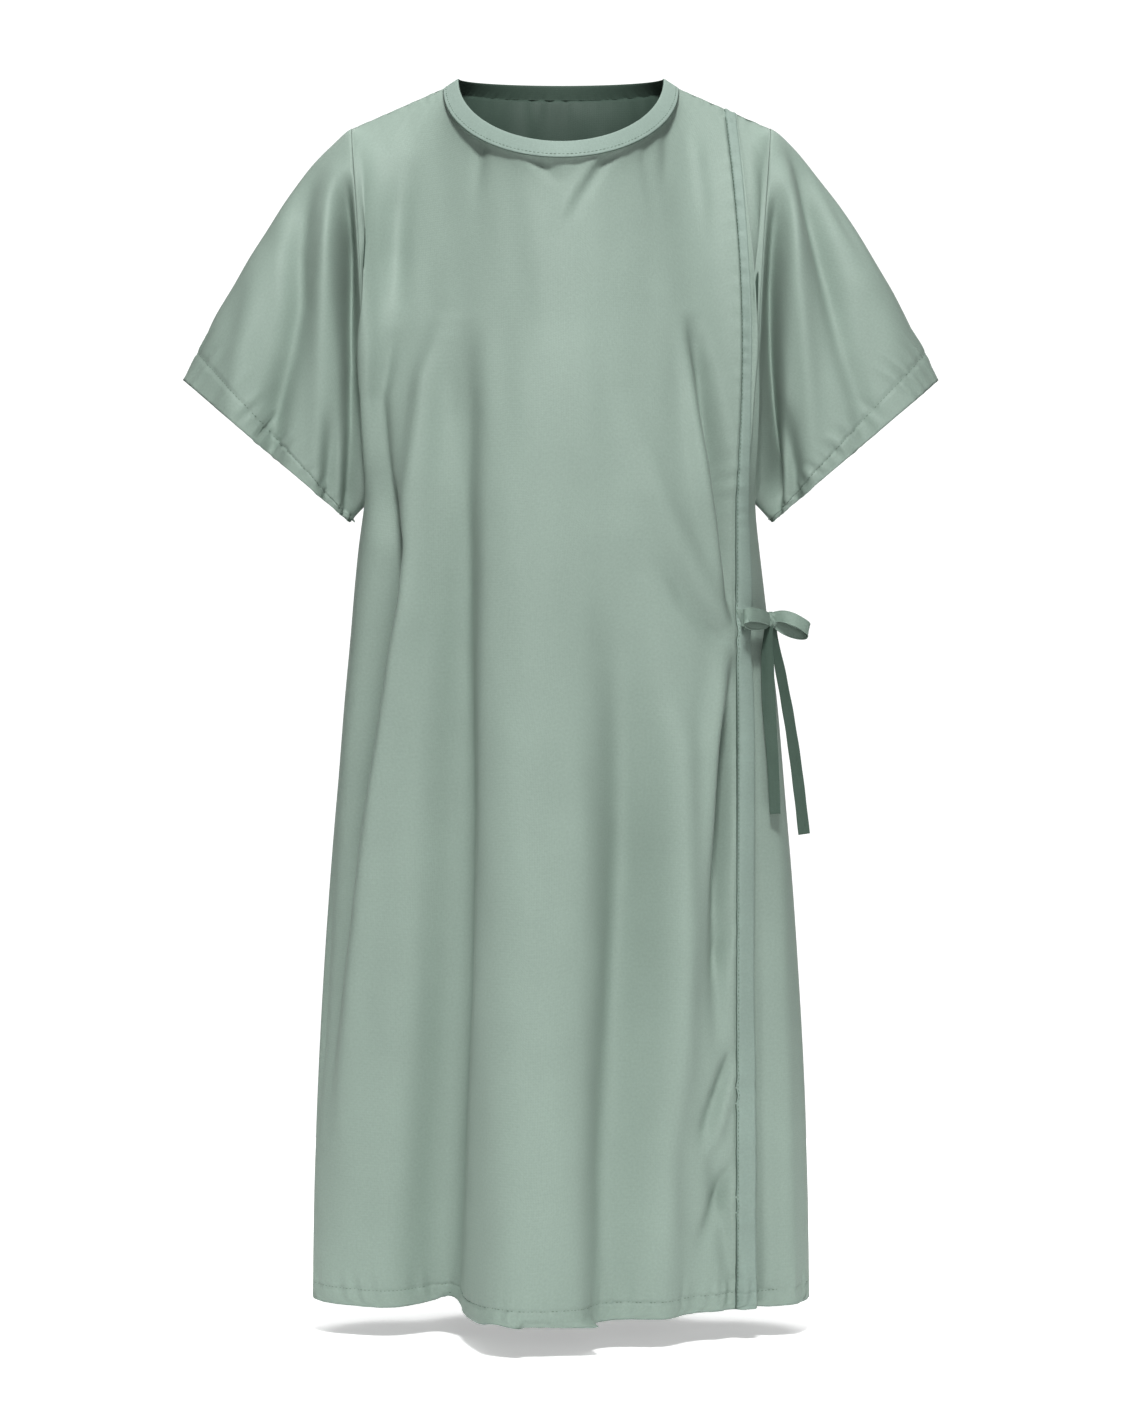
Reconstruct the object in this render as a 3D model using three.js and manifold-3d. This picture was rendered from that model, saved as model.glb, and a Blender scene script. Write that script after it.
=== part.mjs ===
// Short-sleeved wrap patient gown, hanging as it does on the wearer's shoulders.
// Millimetres, +Z up, the front faces -Y and the wearer's left is +X. The origin lies midway
// between the two shoulder high points, where the gown rests on the wearer.
import * as THREE from "three";
import { mergeVertices } from "three/addons/utils/BufferGeometryUtils.js";
import Module from "manifold-3d";

const wasm = await Module();
wasm.setup();

// Cloth and layers
const CLOTH = 0.8; // thickness of one layer as modelled
const LAYER = 1.2; // pitch between two layers that lie on each other
const SEAM_GAP = 0.25; // each panel stops this short of a flat seam line
const SHOULDER_GAP = 0.6; // and this short of the folded shoulder ridge

// Overall sizes
const LENGTH = 1100; // shoulder high point down to the hem
const CHEST_HALF = 173; // half width at the armpits
const HEM_HALF = 224; // half width at the hem
const HEM_RISE = 5; // the hem sits this much higher at the sides than at the middle

// Front and back depth, from the plane of the side seams
const CHEST_FRONT = 116;
const HEM_FRONT = 148;
const CHEST_BACK = 88;
const HEM_BACK = 102;
const CORNER_POWER = 2.6; // 2 is an ellipse, higher is squarer
const BUST_BULGE = 8;

// Shoulders, armholes and neck
const SHOULDER_HALF = 188;
const SHOULDER_DROP = 45;
const ARMPIT_DEPTH = 381;
const ARMHOLE_DEPTH = 50; // half of the armhole from front to back
const NECK_HALF = 104;
const NECK_SIDE_DROP = 8;
const NECK_FRONT_DROP = 82;
const NECK_FRONT_DEPTH = 90;
const NECK_BACK_DEPTH = 63;
const BINDING_IN = 12; // the binding stands this far in from the cut neckline
const BINDING_RISE_SIDE = 8;
const BINDING_RISE_FRONT = 13;
const BINDING_RISE_BACK = 12;

// Sleeves
const CUFF_TIP = [340, -271]; // outer top corner of the cuff, across and up
const CUFF_UNDER = [190, -399]; // inner lower corner
const CUFF_DEPTH = 52; // half of the cuff from front to back
const SLEEVE_CROWN = 13; // how far the top of the sleeve bows out
const SLEEVE_GAP = 1.0; // from the armhole edge to the sleeve
const SLEEVE_HEM = 16;

// Hems, bands and the wrap
const HEM_HEIGHT = 14.5;
const BAND_WIDTH = 12.5;
const BAND_INNER_TOP = 147; // inner edge of the front band at the shoulder seam
const BAND_INNER_ARM = 155; // and at the armpit, and from there down to the hem
const BAND_BOW = 9; // how far it bows outward beside the armhole
const UNDERLAP_EDGE = 40; // the hidden free edge, from the middle line
const UNDERLAP_BAND_SHARE = 0.35; // turned edge, as a share of the next column

// The fold line that the lower flap turns about
const FOLD_TOP = [168, -500];
const FOLD_HEM_X = -20;
const FOLD_SLIT = 0.4;

// Tie
const TIE_Z = -489;
const STRAP_WIDTH = 11;
const STRAP_THICK = 1.6;
const KNOT_ACROSS = 0.913; // share of the way across the front where the knot lies
const KNOT_STAND = 7.5; // and how far its middle stands off the cloth
const KNOT_RADII = [4.6, 4.6, 5.6];
const LOOP_WIDTH = 12;
const TACK_HEIGHT = 18;

// The share of the way across where the neckline starts, and the seam allowance.
const NECK_SHARE = 0.3;
const SEAM_SHARE = 0.007;

const SAGE = 0x92a698;
const SAGE_DARK = 0x82968a;

const lerp = THREE.MathUtils.lerp;
const smoothstep = THREE.MathUtils.smoothstep;

// ---- The shape of the hanging cloth ----------------------------------------------------------

// Heights run from 0 at the hem to 1 at the armpits and 2 at the shoulder and neck seams.
function heightAt(z) {
  return (z + LENGTH) / (LENGTH - ARMPIT_DEPTH);
}

function halfWidth(h) {
  return lerp(CHEST_HALF, HEM_HALF, 1 - Math.pow(h, 1.82));
}

// The front hangs in one broad soft wave, deepest left of the middle, that fades out at the chest.
function wave(x, h) {
  const rise = smoothstep(x, -0.46 * HEM_HALF, -0.25 * HEM_HALF);
  const fall = 1 - 0.8 * smoothstep(x, 0, 0.62 * HEM_HALF);
  const atHem = 0.4 + 0.6 * rise * fall;
  return 1 - (1 - atHem) * Math.pow(1 - h, 1.3);
}

// A level cut through the skirt: face is -1 for the front and 1 for the back.
function skirtPoint(face, across, h) {
  const turn = Math.PI * (across - 0.5);
  const x = halfWidth(h) * Math.sin(turn);
  const shape = Math.pow(1 - Math.pow(Math.abs(Math.sin(turn)), CORNER_POWER), 1 / CORNER_POWER);
  const chest = face < 0 ? CHEST_FRONT : CHEST_BACK;
  const hem = face < 0 ? HEM_FRONT : HEM_BACK;
  const depth = lerp(hem, chest, h) * shape * (face < 0 ? wave(x, h) : 1);
  const hemShift = HEM_RISE * (1 - shape) * (1 - h);
  return new THREE.Vector3(x, face * depth, lerp(-LENGTH, -ARMPIT_DEPTH, h) + hemShift);
}

// The cut neckline, where the panels end and the binding starts. turn runs 0 to pi, right to left.
function neckline(face, turn) {
  const sweep = Math.sin(turn);
  const drop = face < 0 ? NECK_FRONT_DROP - NECK_SIDE_DROP : 0;
  const depth = face < 0 ? NECK_FRONT_DEPTH : NECK_BACK_DEPTH;
  return new THREE.Vector3(-NECK_HALF * Math.cos(turn), face * depth * sweep, -NECK_SIDE_DROP - drop * sweep);
}

// The folded edge of the neck binding, beside the same place on the neckline.
function bindingEdge(face, turn) {
  const sweep = Math.sin(turn);
  const rise = face < 0 ? BINDING_RISE_FRONT : BINDING_RISE_BACK;
  const edge = neckline(face, turn);
  edge.x = -(NECK_HALF - BINDING_IN) * Math.cos(turn);
  edge.y *= 0.96;
  edge.z += lerp(BINDING_RISE_SIDE, rise, sweep);
  return edge;
}

// The top edge of a panel: right shoulder seam, neckline, left shoulder seam.
function topEdge(face, across) {
  const shoulder = Math.min(across, 1 - across) / NECK_SHARE;
  if (shoulder >= 1) {
    return neckline(face, (Math.PI * (across - NECK_SHARE)) / (1 - 2 * NECK_SHARE));
  }
  const side = across < 0.5 ? -1 : 1;
  const x = side * lerp(SHOULDER_HALF, NECK_HALF, shoulder);
  return new THREE.Vector3(x, 0, lerp(-SHOULDER_DROP, -NECK_SIDE_DROP, shoulder));
}

// The armhole edge of a panel, from the underarm (0) to the shoulder tip (1).
function armholeEdge(side, face, up) {
  const round = Math.pow(Math.max(0, 1 - Math.pow(2 * up - 1, 2)), 0.45);
  const x = side * lerp(CHEST_HALF, SHOULDER_HALF, up);
  return new THREE.Vector3(x, face * ARMHOLE_DEPTH * round, lerp(-ARMPIT_DEPTH, -SHOULDER_DROP, up));
}

// Between the armpits and the top edge: a blend of both, pulled to the armhole at its sides.
function yokePoint(face, across, up) {
  const point = skirtPoint(face, across, 1).lerp(topEdge(face, across), up);
  for (const side of [-1, 1]) {
    const inward = side < 0 ? across : 1 - across;
    const pull = Math.pow(Math.max(0, 1 - inward / 0.35), 2);
    const corner = side < 0 ? 0 : 1;
    const plain = skirtPoint(face, corner, 1).lerp(topEdge(face, corner), up);
    point.addScaledVector(armholeEdge(side, face, up).sub(plain), pull);
  }
  const bulge = Math.sin(Math.PI * up) * Math.sin(Math.PI * across);
  point.y += face * (face < 0 ? BUST_BULGE : 0.8 * BUST_BULGE) * bulge;
  return point;
}

function torsoPoint(face, across, h) {
  return h <= 1 ? skirtPoint(face, across, h) : yokePoint(face, across, h - 1);
}

// Directions across and up the cloth, and straight out of it.
function torsoFrame(face, across, h) {
  const step = 1e-4;
  const [a0, a1] = [Math.max(0, across - step), Math.min(1, across + step)];
  const [h0, h1] = [Math.max(0, h - step), Math.min(2, h + step)];
  const over = torsoPoint(face, a1, h).sub(torsoPoint(face, a0, h)).normalize();
  const up = torsoPoint(face, across, h1).sub(torsoPoint(face, across, h0)).normalize();
  const out = over.clone().cross(up).multiplyScalar(-face).normalize();
  return { over, up, out };
}

// A point of a layer that lies `offset` outside the torso surface, stopped short of the seams.
function layerPoint(face, across, h, offset) {
  const { over, up, out } = torsoFrame(face, across, h);
  const point = torsoPoint(face, across, h).addScaledVector(out, offset);
  if (across === 0) point.addScaledVector(over, SEAM_GAP);
  if (across === 1) point.addScaledVector(over, -SEAM_GAP);
  const onShoulder = across <= NECK_SHARE + 1e-9 || across >= 1 - NECK_SHARE - 1e-9;
  const back = SHOULDER_GAP + 1.15 * Math.max(0, -offset);
  if (h === 2 && onShoulder) point.addScaledVector(up, -back);
  return point;
}

// How far across the front a given x lies at one height.
function acrossAt(x, h) {
  let low = 0.5;
  let high = 1;
  for (let i = 0; i < 40; i += 1) {
    const middle = (low + high) / 2;
    if (torsoPoint(-1, middle, h).x < x) low = middle;
    else high = middle;
  }
  return low;
}

// ---- Rows and columns that all layers share, so that no two layers cross ---------------------

const HEM_ROW = heightAt(-LENGTH + HEM_HEIGHT);
const TIE_ROW = heightAt(TIE_Z - TACK_HEIGHT / 2);
const TACK_ROW = heightAt(TIE_Z + TACK_HEIGHT / 2);
const ROWS = [0, HEM_ROW, 0.27, 0.52, 0.72, TIE_ROW, TACK_ROW, 1, 1.1, 1.35, 1.65, 1.88, 1.97, 2];

function bandInner(h) {
  const up = Math.max(0, h - 1);
  return acrossAt(lerp(BAND_INNER_ARM, BAND_INNER_TOP, up) + BAND_BOW * Math.sin(Math.PI * up), h);
}

function bandOuter(h) {
  const inner = bandInner(h);
  const step = 1e-3;
  const reach = torsoPoint(-1, inner + step, h).distanceTo(torsoPoint(-1, inner, h)) / step;
  return inner + BAND_WIDTH / reach;
}

function underlapEdge(h) {
  return acrossAt(UNDERLAP_EDGE, h);
}

function underlapBand(h) {
  return lerp(underlapEdge(h), 1 - NECK_SHARE, UNDERLAP_BAND_SHARE);
}

// Stops across the front, right to left, with how many columns lie before each.
const FRONT_STOPS = [
  [() => 0, 0],
  [() => SEAM_SHARE, 1],
  [() => NECK_SHARE, 3],
  [underlapEdge, 5],
  [underlapBand, 1],
  [() => 1 - NECK_SHARE, 2],
  [bandInner, 2],
  [bandOuter, 1],
  [() => 1 - SEAM_SHARE, 2],
  [() => 1, 1],
];
const BACK_STOPS = [
  [() => 0, 0],
  [() => SEAM_SHARE, 1],
  [() => NECK_SHARE, 3],
  [() => 1 - NECK_SHARE, 6],
  [() => 1 - SEAM_SHARE, 3],
  [() => 1, 1],
];

function spread(stops) {
  const columns = [stops[0][0]];
  for (let i = 1; i < stops.length; i += 1) {
    const [before, after] = [stops[i - 1][0], stops[i][0]];
    const count = stops[i][1];
    for (let k = 1; k < count; k += 1) columns.push((h) => lerp(before(h), after(h), k / count));
    columns.push(after);
  }
  return columns;
}

const FRONT = spread(FRONT_STOPS);
const BACK = spread(BACK_STOPS);
const NECK_COLUMN = 4;
const HIDDEN_COLUMN = 9;
const HIDDEN_BAND_COLUMN = 10;
const BAND_COLUMN = 14;
const BAND_OUT_COLUMN = 15;
const LAST_FRONT = FRONT.length - 1;
const LAST_BACK = BACK.length - 1;
const LAST_ROW = ROWS.length - 1;
const ARMPIT_ROW = ROWS.indexOf(1);

// ---- Geometry helpers ------------------------------------------------------------------------

// A box of cols x rows cells whose corners are moved to at(column, row, side), side -1 or 1.
// Both large faces are split along the same diagonals, so that layers lie parallel.
function bentBox(cols, rows, at) {
  const geometry = new THREE.BoxGeometry(cols, rows, 1, cols, rows, 1);
  const index = geometry.index;
  const lastFace = geometry.groups[5];
  for (let i = lastFace.start; i < lastFace.start + lastFace.count; i += 6) {
    const [a, b, d, c] = [0, 1, 2, 4].map((k) => index.getX(i + k));
    [a, b, c, a, c, d].forEach((corner, k) => index.setX(i + k, corner));
  }
  const place = geometry.getAttribute("position");
  for (let i = 0; i < place.count; i += 1) {
    const column = Math.round(place.getX(i) + cols / 2);
    const row = Math.round(place.getY(i) + rows / 2);
    const point = at(column, row, place.getZ(i) > 0 ? 1 : -1);
    place.setXYZ(i, point.x, point.y, point.z);
  }
  return outward(geometry);
}

function outward(geometry) {
  const flat = merged(geometry);
  const index = flat.index;
  const place = flat.getAttribute("position");
  const corner = [new THREE.Vector3(), new THREE.Vector3(), new THREE.Vector3()];
  let volume = 0;
  for (let i = 0; i < index.count; i += 3) {
    for (let k = 0; k < 3; k += 1) corner[k].fromBufferAttribute(place, index.getX(i + k));
    volume += corner[0].dot(corner[1].clone().cross(corner[2]));
  }
  if (volume < 0) {
    for (let i = 0; i < index.count; i += 3) {
      const second = index.getX(i + 1);
      index.setX(i + 1, index.getX(i + 2));
      index.setX(i + 2, second);
    }
  }
  return flat;
}

function merged(geometry) {
  const plain = geometry.clone();
  plain.deleteAttribute("normal");
  plain.deleteAttribute("uv");
  return mergeVertices(plain, 1e-4);
}

function toSolid(geometry) {
  const plain = merged(geometry);
  const vertProperties = new Float32Array(plain.getAttribute("position").array);
  const triVerts = new Uint32Array(plain.index.array);
  return new wasm.Manifold(new wasm.Mesh({ numProp: 3, vertProperties, triVerts }));
}

function fromSolid(solid) {
  const mesh = solid.getMesh();
  const geometry = new THREE.BufferGeometry();
  geometry.setAttribute("position", new THREE.BufferAttribute(new Float32Array(mesh.vertProperties), 3));
  geometry.setIndex(new THREE.BufferAttribute(new Uint32Array(mesh.triVerts), 1));
  return geometry;
}

// A patch of one torso layer. offset(column, row) is how far out the layer lies.
function layer(face, columns, rows, offset) {
  const stops = face < 0 ? FRONT : BACK;
  return bentBox(columns[1] - columns[0], rows[1] - rows[0], (i, j, side) => {
    const column = columns[0] + i;
    const h = ROWS[rows[0] + j];
    const out = offset(column) + (side * CLOTH) / 2;
    return layerPoint(face, stops[column](h), h, out);
  });
}

// The fold plane runs from the tie down to the hem; everything beyond it is the free flap.
const FOLD_DIRECTION = new THREE.Vector3(FOLD_HEM_X - FOLD_TOP[0], 0, -LENGTH - FOLD_TOP[1]).normalize();
const FLAP_SIDE = new THREE.Vector3(-FOLD_DIRECTION.z, 0, FOLD_DIRECTION.x);

function beyondFold(distance) {
  const size = 4 * LENGTH;
  const box = new THREE.BoxGeometry(size, size, size);
  const turn = new THREE.Quaternion().setFromUnitVectors(new THREE.Vector3(1, 0, 0), FLAP_SIDE);
  const centre = new THREE.Vector3(FOLD_TOP[0], 0, FOLD_TOP[1]);
  centre.addScaledVector(FLAP_SIDE, size / 2 + distance);
  box.applyQuaternion(turn);
  box.translate(centre.x, centre.y, centre.z);
  return toSolid(box);
}

function keptSide(geometry) {
  return fromSolid(toSolid(geometry).subtract(beyondFold(-FOLD_SLIT / 2)));
}

function flapSide(geometry) {
  return fromSolid(toSolid(geometry).intersect(beyondFold(FOLD_SLIT / 2)));
}

// ---- Pieces ----------------------------------------------------------------------------------

const gown = new THREE.Group();

function add(name, geometry, colour = SAGE) {
  const material = new THREE.MeshStandardMaterial({ color: colour, roughness: 0.75, metalness: 0 });
  const mesh = new THREE.Mesh(geometry, material);
  mesh.name = name;
  gown.add(mesh);
}

// The underlap lies two layers inside the front panel, and comes out to the side seam.
function underlapOffset(column) {
  const out = smoothstep(column, BAND_OUT_COLUMN, LAST_FRONT - 1);
  return -2 * LAYER * (1 - out);
}

const flat = (offset) => () => offset;

function addPanels() {
  const front = layer(-1, [0, BAND_OUT_COLUMN], [0, LAST_ROW], flat(0));
  add("front_panel", keptSide(front));
  add("front_flap", flapSide(front));
  add("underlap_panel", layer(-1, [HIDDEN_COLUMN, LAST_FRONT], [0, LAST_ROW], underlapOffset), SAGE_DARK);
  add("back_panel", layer(1, [0, LAST_BACK], [0, LAST_ROW], flat(0)));
}

function addHemsAndBands() {
  const hem = layer(-1, [0, BAND_OUT_COLUMN], [0, 1], flat(-LAYER));
  add("front_hem", keptSide(hem));
  add("front_flap_hem", flapSide(hem));
  const under = (column) => underlapOffset(column) - LAYER;
  add("underlap_hem", layer(-1, [HIDDEN_COLUMN, LAST_FRONT], [0, 1], under), SAGE_DARK);
  add("back_hem", layer(1, [0, LAST_BACK], [0, 1], flat(-LAYER)));
  const band = layer(-1, [BAND_COLUMN, BAND_OUT_COLUMN], [0, LAST_ROW], flat(LAYER));
  add("front_edge_band_upper", keptSide(band));
  add("front_edge_band_lower", flapSide(band));
  const clear = heightAt(-LENGTH + HEM_HEIGHT + 2 * SEAM_GAP);
  const hidden = bentBox(HIDDEN_BAND_COLUMN - HIDDEN_COLUMN, LAST_ROW - 2, (i, j, sheet) => {
    const column = HIDDEN_COLUMN + i;
    const h = j === 0 ? clear : ROWS[1 + j];
    return layerPoint(-1, FRONT[column](h), h, under(column) + (sheet * CLOTH) / 2);
  });
  add("underlap_edge_band", hidden, SAGE_DARK);
}

// The seam allowance inside a side seam: one column of the front and one of the back.
function addSideSeams() {
  for (const [name, side] of [["right_side_seam", -1], ["left_side_seam", 1]]) {
    const edge = side < 0 ? 0 : 1;
    const inner = side < 0 ? SEAM_SHARE : 1 - SEAM_SHARE;
    const strip = bentBox(2, ARMPIT_ROW - 1, (i, j, face) => {
      const h = ROWS[1 + j];
      const offset = -LAYER + (face * CLOTH) / 2;
      if (i === 1) {
        const seam = torsoPoint(-1, edge, h);
        return seam.add(new THREE.Vector3(side * offset, 0, 0));
      }
      return layerPoint(i === 0 ? -1 : 1, inner, h, offset);
    });
    add(name, strip);
  }
}

// The seam allowance under a shoulder seam, folded over the ridge from front to back.
function addShoulderSeams() {
  const reach = ROWS[LAST_ROW - 1];
  const start = SEAM_SHARE;
  const end = lerp(start, NECK_SHARE, 0.97);
  const stops = [start, lerp(start, NECK_SHARE, 1 / 3), lerp(start, NECK_SHARE, 2 / 3), end];
  for (const [name, side] of [["right_shoulder_seam", -1], ["left_shoulder_seam", 1]]) {
    const depth = side < 0 ? LAYER : 4 * LAYER;
    const strip = bentBox(3, 2, (i, j, sheet) => {
      const across = side < 0 ? stops[i] : 1 - stops[i];
      const offset = (sheet * CLOTH) / 2 - depth;
      if (j !== 1) {
        const face = j === 0 ? -1 : 1;
        return layerPoint(face, across, reach, face < 0 ? offset : (sheet * CLOTH) / 2 - LAYER);
      }
      const ridge = topEdge(-1, across);
      const front = torsoFrame(-1, across, 2).out;
      const back = torsoFrame(1, across, 2).out;
      const mitre = front.clone().add(back).divideScalar(1 + front.dot(back));
      return ridge.addScaledVector(mitre, offset);
    });
    add(name, strip);
  }
}

// The bias binding round the neck: a ring of cloth standing on the cut neckline.
function addNeckBinding() {
  const neckShares = [];
  const frontColumns = FRONT.slice(NECK_COLUMN).filter((column) => column(2) <= 1 - NECK_SHARE + 1e-9);
  for (const column of frontColumns) neckShares.push([-1, column(2)]);
  for (let i = 5; i >= 0; i -= 1) neckShares.push([1, lerp(NECK_SHARE, 1 - NECK_SHARE, i / 6)]);
  const last = neckShares.length - 1;
  neckShares[0] = [-1, NECK_SHARE + 0.0012];
  const strip = bentBox(last, 1, (i, j, sheet) => {
    const [face, across] = neckShares[i];
    const turn = (Math.PI * (across - NECK_SHARE)) / (1 - 2 * NECK_SHARE);
    const low = neckline(face, turn);
    const high = bindingEdge(face, turn);
    const rise = high.clone().sub(low).normalize();
    const along = neckline(face, turn + 0.01).sub(neckline(face, turn - 0.01)).normalize();
    const out = along.cross(rise).multiplyScalar(-face).normalize();
    const point = j === 0 ? low.addScaledVector(rise, SHOULDER_GAP) : high;
    return point.addScaledVector(out, (sheet * CLOTH) / 2);
  });
  add("neck_binding", strip);
}

// A sleeve is one open sheet wrapped from the underarm seam over the front, top and back.
const SLEEVE_AROUND = 16;
const SLEEVE_ALONG = 4;

function cuffPoint(side, turn) {
  const up = (1 - Math.cos(turn)) / 2;
  const x = lerp(CUFF_UNDER[0], CUFF_TIP[0], up);
  const z = lerp(CUFF_UNDER[1], CUFF_TIP[1], up);
  return new THREE.Vector3(side * x, -CUFF_DEPTH * Math.sin(turn), z);
}

function sleevePoint(side, around, along) {
  const turn = 2 * Math.PI * around;
  const up = (1 - Math.cos(turn)) / 2;
  const root = armholeEdge(side, turn < Math.PI ? -1 : 1, up);
  root.x += side * SLEEVE_GAP;
  const crown = SLEEVE_CROWN * Math.sin(Math.PI * Math.pow(along, 0.7)) * up * up;
  const point = root.lerp(cuffPoint(side, turn), along);
  point.x += side * 0.8 * crown;
  point.z += 0.6 * crown;
  return point;
}

function sleeveLayer(side, around, along, offset) {
  const step = 1e-3;
  const [u0, u1] = [Math.max(0.001, around - step), Math.min(0.999, around + step)];
  const [v0, v1] = [Math.max(0, along - step), Math.min(1, along + step)];
  const over = sleevePoint(side, u1, along).sub(sleevePoint(side, u0, along)).normalize();
  const down = sleevePoint(side, around, v1).sub(sleevePoint(side, around, v0)).normalize();
  const out = down.clone().cross(over).multiplyScalar(side).normalize();
  return sleevePoint(side, around, along).addScaledVector(out, offset);
}

function addSleeves() {
  const cuffLength = Math.hypot(CUFF_TIP[0] - SHOULDER_HALF, CUFF_TIP[1] + SHOULDER_DROP);
  const hemStart = 1 - SLEEVE_HEM / cuffLength;
  const stops = [0, 0.3, 0.62, hemStart, 1];
  const around = (i) => lerp(0.006, 0.994, i / SLEEVE_AROUND);
  for (const [name, side] of [["right_sleeve", -1], ["left_sleeve", 1]]) {
    const sleeve = bentBox(SLEEVE_ALONG, SLEEVE_AROUND, (i, j, sheet) =>
      sleeveLayer(side, around(j), stops[i], (sheet * CLOTH) / 2),
    );
    add(name, sleeve);
    const hem = bentBox(1, SLEEVE_AROUND, (i, j, sheet) =>
      sleeveLayer(side, around(j), i === 0 ? hemStart : 1, (sheet * CLOTH) / 2 - LAYER),
    );
    add(name + "_hem", hem);
  }
}

// The middle of the knot, which all points of the bow are measured from.
const TIE_HEIGHT = heightAt(TIE_Z);
const KNOT = torsoPoint(-1, KNOT_ACROSS, TIE_HEIGHT);
KNOT.addScaledVector(torsoFrame(-1, KNOT_ACROSS, TIE_HEIGHT).out, KNOT_STAND);

function fromKnot(points) {
  return points.map((p) => new THREE.Vector3(...p).add(KNOT));
}

// A flat strap along a list of points, on edge: its width stands along +Z.
function strap(points, width, steps) {
  const path = new THREE.CatmullRomCurve3(points);
  const up = new THREE.Vector3(0, 0, 1);
  return bentBox(steps, 1, (i, j, sheet) => {
    const tangent = path.getTangent(i / steps);
    const rise = up.clone().addScaledVector(tangent, -tangent.dot(up)).normalize();
    const out = tangent.clone().cross(rise).normalize();
    const point = path.getPoint(i / steps).addScaledVector(rise, (j - 0.5) * width);
    return point.addScaledVector(out, (sheet * CLOTH) / 2);
  });
}

// The hanging tails of the bow, from the knot down to their free ends.
const NEAR_TAIL = [
  [-1.8, -1.6, -5.9], [-2.8, -3.2, -16], [-3.3, -4.4, -27], [-3.2, -5.1, -39],
  [-3.0, -5.8, -52], [-2.6, -6.4, -65], [-2.0, -7.0, -78], [-1.2, -7.6, -91],
  [-0.3, -8.2, -104], [0.6, -8.8, -116], [1.3, -9.3, -128], [1.9, -9.8, -140],
  [2.4, -10.3, -151], [2.8, -10.7, -162], [3.2, -11.1, -172],
];
const FAR_TAIL = [
  [1.2, 3.2, -5.2], [2.6, 6.2, -16], [5.1, 8.0, -27], [7.8, 9.4, -39],
  [10.4, 11.0, -52], [13.1, 12.4, -66], [15.7, 13.4, -80], [18.1, 14.4, -94],
  [20.3, 15.3, -108], [22.4, 16.2, -122], [24.3, 17.0, -136], [26.1, 17.8, -150],
  [27.8, 18.5, -164], [29.4, 19.2, -178], [30.9, 19.8, -191],
];
const NEAR_LOOP = [
  [-4.9, -7.4, -1], [-12.4, -19.6, 0], [-19, -28, 1.5], [-23.5, -33.5, 2.5], [-25, -37.5, 3],
  [-22.5, -39.5, 3], [-17.5, -35.5, 2.5], [-10, -24, 1], [-2.2, -5.7, -0.5],
];
const FAR_LOOP = [
  [5.2, -2.4, 2], [12, -6.5, 0.5], [22, -8, -3.5], [30, -6.5, -7.5], [33, -3.5, -9.5],
  [31, -0.5, -10], [23, 1.4, -7.4], [13, 1.5, -3.0], [6.2, 0.6, -0.8],
];

// An eight-sided flat oval drawn along a tail.
function tail(points) {
  const path = new THREE.CatmullRomCurve3(fromKnot(points));
  const section = new THREE.Shape();
  const [flatX, edgeX] = [0.31 * STRAP_WIDTH, STRAP_WIDTH / 2];
  const [flatY, edgeY] = [STRAP_THICK / 2, STRAP_THICK / 4];
  const outline = [
    [-flatX, flatY], [flatX, flatY], [edgeX, edgeY], [edgeX, -edgeY],
    [flatX, -flatY], [-flatX, -flatY], [-edgeX, -edgeY], [-edgeX, edgeY],
  ];
  section.setFromPoints(outline.map((p) => new THREE.Vector2(...p)));
  const steps = points.length - 1;
  return outward(new THREE.ExtrudeGeometry(section, { steps, extrudePath: path, bevelEnabled: false }));
}

// The end of a strap that lies on the cloth, `beyond` past the front band's outer edge.
function bandStubPoint(beyond) {
  const across = bandOuter(TIE_HEIGHT) + beyond;
  const point = torsoPoint(-1, across, TIE_HEIGHT);
  return point.addScaledVector(torsoFrame(-1, across, TIE_HEIGHT).out, 2 * LAYER);
}

function addTie() {
  const tack = bentBox(1, 1, (i, j, sheet) => {
    const h = j === 0 ? TIE_ROW : TACK_ROW;
    const across = lerp(bandInner(h), bandOuter(h), i === 0 ? 0.1 : 0.9);
    return layerPoint(-1, across, h, 2 * LAYER + (sheet * CLOTH) / 2);
  });
  add("tie_tack", tack);
  const knot = new THREE.SphereGeometry(1, 10, 8);
  knot.scale(...KNOT_RADII);
  knot.translate(KNOT.x, KNOT.y, KNOT.z);
  add("tie_knot", outward(knot));
  const knotFront = fromKnot([[-4.0, -4.4, 0]])[0];
  add("band_tie_stub", strap([bandStubPoint(0.001), bandStubPoint(0.018), knotFront], STRAP_WIDTH, 4));
  const seam = new THREE.Vector3(halfWidth(TIE_HEIGHT) + LAYER, 5, KNOT.z + 1);
  const [sideMiddle, sideEnd] = fromKnot([[3.6, 22, 1], [1.5, 5.2, 0.8]]);
  add("side_tie_stub", strap([seam, sideMiddle, sideEnd], STRAP_WIDTH, 5));
  add("near_loop", strap(fromKnot(NEAR_LOOP), LOOP_WIDTH, 14));
  add("far_loop", strap(fromKnot(FAR_LOOP), LOOP_WIDTH, 14));
  add("near_tail", tail(NEAR_TAIL), SAGE_DARK);
  add("far_tail", tail(FAR_TAIL), SAGE_DARK);
}

addPanels();
addHemsAndBands();
addSideSeams();
addShoulderSeams();
addNeckBinding();
addSleeves();
addTie();

export default gown;
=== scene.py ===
# %% [markdown]
# # A wrap patient gown, filled out as if worn
#
# The gown is thin woven cloth, so nearly everything in it is one surface seen again and again: the
# front panel, the layer under it, the hems and bands sewn to its edges and the stitches along them.
# The lesson therefore shapes one fine grid of points for the front, one for the back and one for each
# sleeve, folds and all, and then lays every piece on those grids. That is how layers that are sewn
# together stay together. Lengths in the cloth cells are millimetres until a mesh is made.

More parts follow.
